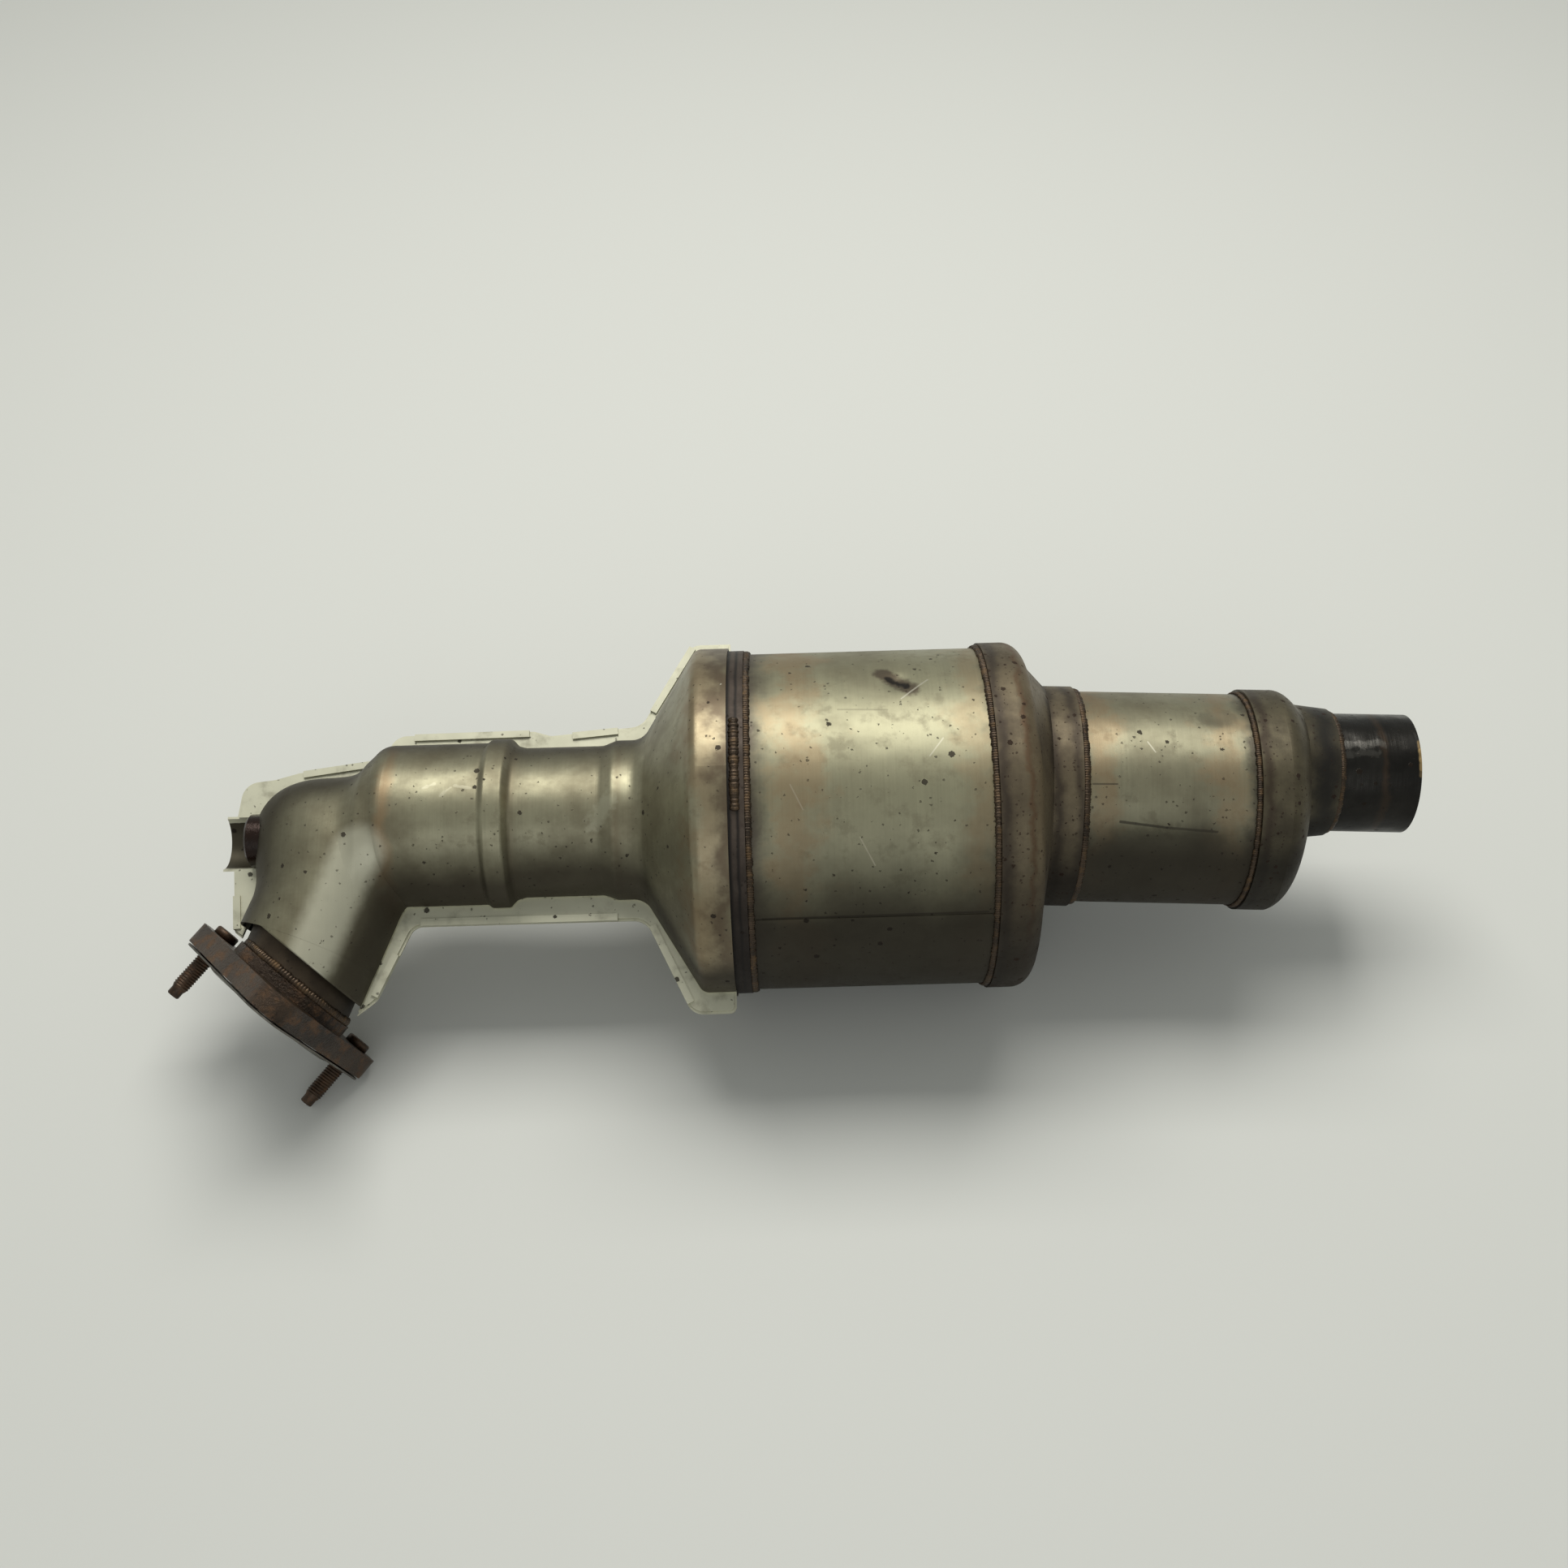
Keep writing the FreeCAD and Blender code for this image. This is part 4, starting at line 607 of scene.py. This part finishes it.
def pressedElbow(name, side):
    turnTotal = math.radians(pressing["bendDegrees"])
    centre = np.array((pressing["bendStart"], -pressing["bendRadius"]))
    ends = np.array((-math.cos(turnTotal), -math.sin(turnTotal)))
    flangeNormal = np.array((-math.cos(flangeWay), -math.sin(flangeWay)))
    turns = np.linspace(pressing["seamTurn"], math.pi - pressing["seamTurn"], pressing["turns"])

    def smoothJoin(first, second, soft):
        near = np.maximum(soft - np.abs(first - second), 0) / soft
        return np.minimum(first, second) - near ** 2 * soft / 4

    def reachOf(spot, outward):   # how far out the pressing lies from one point of the pipe's axis
        radii = np.linspace(*pressing["searched"], pressing["searchSteps"])[:, None]
        out, up = radii * np.cos(turns), radii * np.sin(turns)
        x, y = spot[0] + outward[0] * out, spot[1] + outward[1] * out
        elbow = radii - pressing["elbow"] + 0 * out
        wide = np.hypot(y - pressing["barrelShift"], up) - pressing["barrel"] + pressing["barrelCorner"]
        past = pressing["barrelEnd"] + pressing["barrelCorner"] - x
        barrel = (np.hypot(np.maximum(wide, 0), np.maximum(past, 0)) + np.minimum(np.maximum(wide, past), 0)
                  - pressing["barrelCorner"])
        bulgeX, bulgeY = pressing["bulgeAt"]
        bulge = np.sqrt((x - bulgeX) ** 2 + (y - bulgeY) ** 2 + up ** 2) - pressing["bulge"]
        fade = np.clip((pressing["barrelEnd"] + pressing["fadeFrom"] - x) / pressing["fadeRun"],
                       pressing["fadeLeast"], 1)   # no swelling along the barrel itself
        field = smoothJoin(smoothJoin(elbow, bulge, pressing["bulgeSoft"]), barrel,
                           pressing["barrelSoft"] * fade)
        outside = field > 0
        first = np.maximum(outside.argmax(axis=0), 1)
        columns = np.arange(turns.size)
        before, after = field[first - 1, columns], field[first, columns]
        share = np.clip(before / np.minimum(before - after, -1e-9), 0, 1)
        reach = radii[first - 1, 0] + (radii[first, 0] - radii[first - 1, 0]) * share
        lost = ~outside.any(axis=0) | (-np.cos(turns) * reach > pressing["innerLimit"])
        return np.where(lost, np.nan, reach)

    rows = []
    for x in np.linspace(pressing["start"], pressing["bendStart"], pressing["barrelSteps"])[:-1]:
        rows.append((np.array((x, 0.0)), np.array((0.0, 1.0))))
    for turn in np.linspace(0, turnTotal, pressing["bendSteps"]):
        outward = np.array((-math.sin(turn), math.cos(turn)))
        rows.append((centre + pressing["bendRadius"] * outward, outward))
    neckStart, neckOut = rows[-1]
    outer, inner = [], []
    planeOut = ends @ flangeNormal

    def addRow(spot, outward, reach, runShare):
        for turn, far in zip(turns, reach):
            for layer, radius in ((outer, far), (inner, far - pressing["sheet"])):
                across = spot + outward * radius * math.cos(turn)
                if runShare is not None:   # the neck, cut square to the flange at its end
                    toEnd = (np.array(pressing["endAt"]) - across) @ flangeNormal
                    run = max(pressing["neckRun"], toEnd / planeOut)
                    across = across + ends * run * runShare
                layer.append((*across, side * radius * math.sin(turn)))

    for spot, outward in rows:
        addRow(spot, outward, reachOf(spot, outward) - pressing["sunk"], None)
    for step in range(1, pressing["neckSteps"] + 1):
        share = step / pressing["neckSteps"]
        reach = reachOf(neckStart + ends * pressing["neckRun"] * share, neckOut) - pressing["sunk"]
        addRow(neckStart, neckOut, reach, share)
    columns = len(turns)
    bossY, bossZ = pressing["bossAt"]

    def isClear(spot):
        return (not math.isnan(spot[0]) and abs(spot[2]) > pressing["lowest"] and
                (spot[0] > pressing["bossEnd"] or
                 math.hypot(spot[1] - bossY, spot[2] - bossZ) > pressing["bossClear"]))

    faces, count = [], len(outer)
    for row in range(count // columns - 1):
        for column in range(columns - 1):
            corners = [row * columns + column, (row + 1) * columns + column,
                       (row + 1) * columns + column + 1, row * columns + column + 1]
            if all(isClear(outer[corner]) for corner in corners):
                faces.append(corners if side < 0 else corners[::-1])
    used = dict.fromkeys((first, second) for corners in faces
                         for first, second in zip(corners, corners[1:] + corners[:1]))
    rims = [[second, first, first + count, second + count] for first, second in used
            if (second, first) not in used]
    faces = faces + [[corner + count for corner in corners[::-1]] for corners in faces] + rims
    points = [[0 if math.isnan(value) else value for value in point] for point in outer + inner]
    mesh = bpy.data.meshes.new(name)
    mesh.from_pydata(points, [], faces)
    sheet = bmesh.new()
    sheet.from_mesh(mesh)
    bmesh.ops.delete(sheet, geom=[vert for vert in sheet.verts if not vert.link_faces], context="VERTS")
    bmesh.ops.recalc_face_normals(sheet, faces=sheet.faces)
    sheet.to_mesh(mesh)
    sheet.free()
    mesh.shade_smooth()
    return addPiece(name, mesh, mainFrame, None, [shieldSteel])


pressedElbow("upperPressing", 1)
pressedElbow("lowerPressing", -1)
print("elbow ready")


# ---- weld beads
def newTree(name, inputs):
    tree = bpy.data.node_groups.new(name, "GeometryNodeTree")
    identifiers = {}
    for label, kind, value in inputs:
        socket = tree.interface.new_socket(label, in_out="INPUT", socket_type="NodeSocket" + kind)
        if value is not None:
            socket.default_value = value
        identifiers[label] = socket.identifier
    tree.interface.new_socket("Geometry", in_out="OUTPUT", socket_type="NodeSocketGeometry")
    return (tree, tree.nodes.new("NodeGroupInput").outputs, tree.nodes.new("NodeGroupOutput").inputs,
            identifiers)


def growMesh(tree, identifiers, values, material):
    holder = bpy.data.objects.new("holder", bpy.data.meshes.new("holder"))
    bpy.context.scene.collection.objects.link(holder)
    grow = holder.modifiers.new("grow", "NODES")
    grow.node_group = tree
    for label, value in values.items():
        grow[identifiers[label]] = value
    grow[identifiers["Material"]] = material
    mesh = bpy.data.meshes.new_from_object(holder.evaluated_get(bpy.context.evaluated_depsgraph_get()))
    bpy.data.objects.remove(holder)
    return mesh


beadShape = {"spacing": 0.27, "length": 0.55, "lean": 0.5, "uneven": 0.25}   # shares of the width, radians


def makeBeadTree():   # overlapping scales round an arc about X
    tree, given, made, identifiers = newTree("weldBead", [
        ("Radius", "Float", 0.07), ("Start", "Float", 0.0), ("Sweep", "Float", 6.283), ("Count", "Int", 200),
        ("Width", "Float", 0.004), ("Height", "Float", 0.0012), ("Uneven", "Float", 0.2), ("Seed", "Int", 1),
        ("Material", "Material", None)])
    arc = addNode(tree, "GeometryNodeCurveArc", {
        "Resolution": given["Count"], "Radius": given["Radius"], "Start Angle": given["Start"],
        "Sweep Angle": given["Sweep"]})
    turned = addNode(tree, "GeometryNodeTransform", {
        "Geometry": arc.outputs["Curve"], "Rotation": (math.pi / 2, 0, math.pi / 2)})
    scale = addNode(tree, "GeometryNodeMeshIcoSphere", {"Radius": 1.0, "Subdivisions": 2})
    smooth = addNode(tree, "GeometryNodeSetShadeSmooth", {"Geometry": scale.outputs["Mesh"]})
    tangent = tree.nodes.new("GeometryNodeInputTangent")
    facing = addNode(tree, "FunctionNodeAlignRotationToVector", {"Vector": tangent.outputs[0]}, axis="X")
    spot = tree.nodes.new("GeometryNodeInputPosition")
    upright = addNode(tree, "FunctionNodeAlignRotationToVector", {
        "Rotation": facing.outputs[0], "Vector": addNode(
            tree, "ShaderNodeVectorMath", {0: spot.outputs[0], 1: (0, 1, 1)},
            operation="MULTIPLY").outputs[0]},
        axis="Z", pivot_axis="X")
    lean = addNode(tree, "FunctionNodeRotateRotation", {
        "Rotation": upright.outputs[0], "Rotate By": (0, beadShape["lean"], 0)}, rotation_space="LOCAL")
    chance = addNode(tree, "FunctionNodeRandomValue", {
        2: mathNode(tree, "SUBTRACT", 1.0, given["Uneven"]), 3: 1.0, "Seed": given["Seed"]},
        data_type="FLOAT")
    width = mathNode(tree, "MULTIPLY", given["Width"], 0.5)
    shape = addNode(tree, "ShaderNodeCombineXYZ", {
        0: mathNode(tree, "MULTIPLY", width, beadShape["length"]), 1: width, 2: given["Height"]})
    scaled = addNode(tree, "ShaderNodeVectorMath", {0: shape.outputs[0], "Scale": chance.outputs[1]},
                     operation="SCALE")
    placed = addNode(tree, "GeometryNodeInstanceOnPoints", {
        "Points": turned.outputs[0], "Instance": smooth.outputs[0], "Rotation": lean.outputs[0],
        "Scale": scaled.outputs[0]})
    real = addNode(tree, "GeometryNodeRealizeInstances", {"Geometry": placed.outputs[0]})
    dressed = addNode(tree, "GeometryNodeSetMaterial", {
        "Geometry": real.outputs[0], "Material": given["Material"]})
    tree.links.new(dressed.outputs[0], made["Geometry"])
    return tree, identifiers


def beadSeat(place, station):
    return place @ Matrix.Translation((station, 0, 0))


beadTree, beadInputs = makeBeadTree()
fullTurn = math.radians(360)
weldLine = {   # place, station along X (None: its node's middle), radius at the bead's middle, width, height
    "front_can_weld": (mainFrame, -0.0160, 0.0763, 0.0042, 0.0011),
    "step_front_weld": (mainFrame, 0.0872, 0.0763, 0.0042, 0.0011),
    "step_rear_weld": (rearFrame, None, 0.0483, 0.0040, 0.0011),
    "outlet_cone_weld": (rearFrame, 0.0652, 0.0483, 0.0036, 0.0010),
    "outlet_pipe_weld": (outletFrame, None, 0.0272, 0.0034, 0.0010)}
for nodeName, (place, station, radius, width, height) in weldLine.items():
    if station is None:
        low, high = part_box(nodeName)
        station = (place.inverted() @ ((low + high) / 2)).x
    count = int(fullTurn * radius / (width * beadShape["spacing"]))
    mesh = growMesh(beadTree, beadInputs, {
        "Radius": radius, "Start": 0.0, "Sweep": fullTurn, "Count": count, "Width": width, "Height": height,
        "Uneven": beadShape["uneven"], "Seed": len(nodeName)}, weldSteel)
    addPiece(nodeName.replace("_", "") + "Bead", mesh, beadSeat(place, station), [nodeName],
             [weldSteel])

slotLow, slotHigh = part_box("shield_slot_weld")
slotWeld = {"from": 74, "to": 103, "width": 0.0050, "height": 0.0019, "radius": 0.0776, "lumps": 60,
            "shift": 0.0025, "uneven": 0.35, "seed": 7}
slotStation = (mainFrame.inverted() @ ((slotLow + slotHigh) / 2)).x + slotWeld["shift"]
slotMesh = growMesh(beadTree, beadInputs, {
    "Radius": slotWeld["radius"], "Start": math.radians(slotWeld["from"]),
    "Sweep": math.radians(slotWeld["to"] - slotWeld["from"]), "Count": slotWeld["lumps"],
    "Width": slotWeld["width"], "Height": slotWeld["height"], "Uneven": slotWeld["uneven"],
    "Seed": slotWeld["seed"]}, weldSteel)
addPiece("slotWeldBead", slotMesh, beadSeat(mainFrame, slotStation), ["shield_slot_weld"],
         [weldSteel])

neckWeld = {"radius": 0.0278, "below": 0.0162, "width": 0.0052, "height": 0.0016, "lumps": 120, "uneven": 0.2,
            "seed": 5}
neckMesh = growMesh(beadTree, beadInputs, {
    "Radius": neckWeld["radius"], "Count": neckWeld["lumps"], "Width": neckWeld["width"],
    "Height": neckWeld["height"], "Uneven": neckWeld["uneven"], "Seed": neckWeld["seed"]}, weldSteel)
neckSeat = flangeFrame @ Matrix.Translation((0, 0, -neckWeld["below"])) @ turnAbout("Y", -90)
addPiece("flangeWeldBead", neckMesh, neckSeat, ["flange_weld"], [weldSteel])
print("welds ready")


# ---- the two studs left in the flange
stud = {"core": 0.00335, "crest": 0.0039, "pitch": 0.00125, "head": 0.0056, "headEdge": 0.0006,
        "headBack": -0.01355, "flangeBack": -0.01, "headGap": 0.0001, "face": 0.0, "tip": 0.02297,
        "dog": 0.0029,
        "dogLength": 0.0035, "dogEdge": 0.0005, "runOut": 0.001, "pitchSteps": 8, "fadeTurns": 0.4,
        "around": 28,
        "sewnWithin": 0.000001, "circle": 0.044, "clock": 11, "holes": 3, "fitted": 2}


def studTurning():   # radius at each height, with the thread's crest running round as a helix
    headFace = stud["flangeBack"] - stud["headGap"]
    stations = [(stud["headBack"], 0.0), (stud["headBack"], stud["head"] - stud["headEdge"]),
                (stud["headBack"] + stud["headEdge"], stud["head"]), (headFace, stud["head"]),
                (headFace, stud["core"]), (stud["face"], stud["core"])]
    threadEnd = stud["tip"] - stud["dogLength"] - stud["runOut"]
    rise = stud["face"] + stud["pitch"] / stud["pitchSteps"]
    while rise < threadEnd:
        stations.append((rise, None))
        rise += stud["pitch"] / stud["pitchSteps"]
    stations += [(threadEnd, stud["core"]), (threadEnd + stud["runOut"], stud["dog"]),
                 (stud["tip"] - stud["dogEdge"], stud["dog"]), (stud["tip"], stud["dog"] - stud["dogEdge"]),
                 (stud["tip"], 0.0)]
    points, faces = [], []
    around = stud["around"]
    for height, radius in stations:
        for step in range(around):
            reach = radius
            if radius is None:
                phase = (height / stud["pitch"] - step / around) % 1
                fade = min(1, (threadEnd - height) / stud["pitch"],
                           (height - stud["face"]) / (stud["fadeTurns"] * stud["pitch"]))
                reach = stud["core"] + (stud["crest"] - stud["core"]) * (1 - abs(2 * phase - 1)) * fade
            angle = 2 * math.pi * step / around
            points.append((reach * math.cos(angle), reach * math.sin(angle), height))
    for row in range(len(stations) - 1):
        for step in range(around):
            ahead = (step + 1) % around
            faces.append((row * around + step, row * around + ahead,
                          (row + 1) * around + ahead, (row + 1) * around + step))
    mesh = bpy.data.meshes.new("studTurning")
    mesh.from_pydata(points, [], faces)
    sewn = bmesh.new()
    sewn.from_mesh(mesh)
    bmesh.ops.remove_doubles(sewn, verts=sewn.verts, dist=stud["sewnWithin"])
    bmesh.ops.recalc_face_normals(sewn, faces=sewn.faces)
    sewn.to_mesh(mesh)
    sewn.free()
    return mesh


def makeStudTree():   # the stud at each hole of the bolt circle that still has one
    tree, given, made, identifiers = newTree("studCircle", [
        ("Stud", "Object", None), ("Holes", "Int", 3), ("Fitted", "Int", 2), ("Circle", "Float", 0.044),
        ("Clock", "Float", 0.0), ("Material", "Material", None)])
    holes = addNode(tree, "GeometryNodeMeshCircle", {"Vertices": given["Holes"], "Radius": given["Circle"]})
    order = tree.nodes.new("GeometryNodeInputIndex")
    empty = addNode(tree, "FunctionNodeCompare", {2: order.outputs[0], 3: given["Fitted"]},
                    data_type="INT", operation="GREATER_EQUAL")
    kept = addNode(tree, "GeometryNodeDeleteGeometry", {
        "Geometry": holes.outputs[0], "Selection": empty.outputs[0]}, domain="POINT")
    model = addNode(tree, "GeometryNodeObjectInfo", {"Object": given["Stud"]})
    placed = addNode(tree, "GeometryNodeInstanceOnPoints", {
        "Points": kept.outputs[0], "Instance": model.outputs["Geometry"]})
    turn = addNode(tree, "ShaderNodeCombineXYZ", {2: given["Clock"]})
    turned = addNode(tree, "GeometryNodeTransform", {
        "Geometry": placed.outputs[0], "Rotation": turn.outputs[0]})
    real = addNode(tree, "GeometryNodeRealizeInstances", {"Geometry": turned.outputs[0]})
    dressed = addNode(tree, "GeometryNodeSetMaterial", {
        "Geometry": real.outputs[0], "Material": given["Material"]})
    tree.links.new(dressed.outputs[0], made["Geometry"])
    return tree, identifiers


studTree, studInputs = makeStudTree()
studModel = bpy.data.objects.new("studModel", studTurning())
bpy.context.scene.collection.objects.link(studModel)
studMesh = growMesh(studTree, studInputs, {
    "Stud": studModel, "Holes": stud["holes"], "Fitted": stud["fitted"], "Circle": stud["circle"],
    "Clock": math.radians(stud["clock"])}, threadRust)
bpy.data.objects.remove(studModel)
studMesh.shade_smooth()
addPiece("threadedStuds", studMesh, flangeFrame, ["flange_studs"], [threadRust])
print("studs ready")


# ---- floor, light and camera
floorSize = {"half": 6.0, "colour": (0.60, 0.605, 0.585), "rough": 0.6}
floorMesh = bpy.data.meshes.new("floor")
half, level = floorSize["half"], cadBox[0][2]
floorMesh.from_pydata([(x * half, y * half, level) for x, y in ((-1, -1), (1, -1), (1, 1), (-1, 1))], [],
                      [(0, 1, 2, 3)])
floor = bpy.data.objects.new("floor", floorMesh)
bpy.context.scene.collection.objects.link(floor)
floorFinish, floorSkin = newMaterial("floorFinish", 0.0)[::2]
floorSkin.inputs["Roughness"].default_value = floorSize["rough"]
floorSkin.inputs["Base Color"].default_value = (*floorSize["colour"], 1)
floorMesh.materials.append(floorFinish)

studio = {"worldColour": (0.93, 0.96, 0.9), "worldLevel": 0.42, "aim": (0.25, 0.07, 0.0),
          "lamps": [("overhead", (0.25, 0.75, 1.55), (1.4, 0.8), 24, (1, 0.99, 0.93)),
                    ("frontFill", (0.2, -1.5, 1.0), (1.4, 1.0), 4, (0.95, 0.98, 1))]}
world = bpy.data.worlds.new("world")
bpy.context.scene.world = world
world.use_nodes = True
sky = world.node_tree.nodes["Background"].inputs
sky["Color"].default_value = (*studio["worldColour"], 1)
sky["Strength"].default_value = studio["worldLevel"]
for lampName, place, (wide, deep), watts, colour in studio["lamps"]:
    lamp = bpy.data.lights.new(lampName, "AREA")
    lamp.shape, lamp.size, lamp.size_y, lamp.energy, lamp.color = "RECTANGLE", wide, deep, watts, colour
    lampObject = bpy.data.objects.new(lampName, lamp)
    lampObject.location = place
    lampObject.rotation_euler = (Vector(studio["aim"]) - Vector(place)).to_track_quat("-Z", "Y").to_euler()
    bpy.context.scene.collection.objects.link(lampObject)

view = {"lens": 37.27, "sensor": 36, "nearest": 0.01, "fromAxis": (0, -0.46775, 0.57388),
        "right": (0.99959, -0.02134, -0.01911), "forward": (-0.00068, 0.64906, -0.76074)}
camera = bpy.data.cameras.new("camera")
camera.lens, camera.sensor_width, camera.clip_start = view["lens"], view["sensor"], view["nearest"]
cameraObject = bpy.data.objects.new("camera", camera)
right, forward = Vector(view["right"]).normalized(), Vector(view["forward"]).normalized()
up = right.cross(forward)
cameraObject.matrix_world = Matrix.Translation(mainPoint + Vector(view["fromAxis"])) @ Matrix(
    (right, up, -forward)).transposed().to_4x4()
bpy.context.scene.collection.objects.link(cameraObject)
bpy.context.scene.camera = cameraObject
bpy.context.scene.view_settings.view_transform = "Standard"
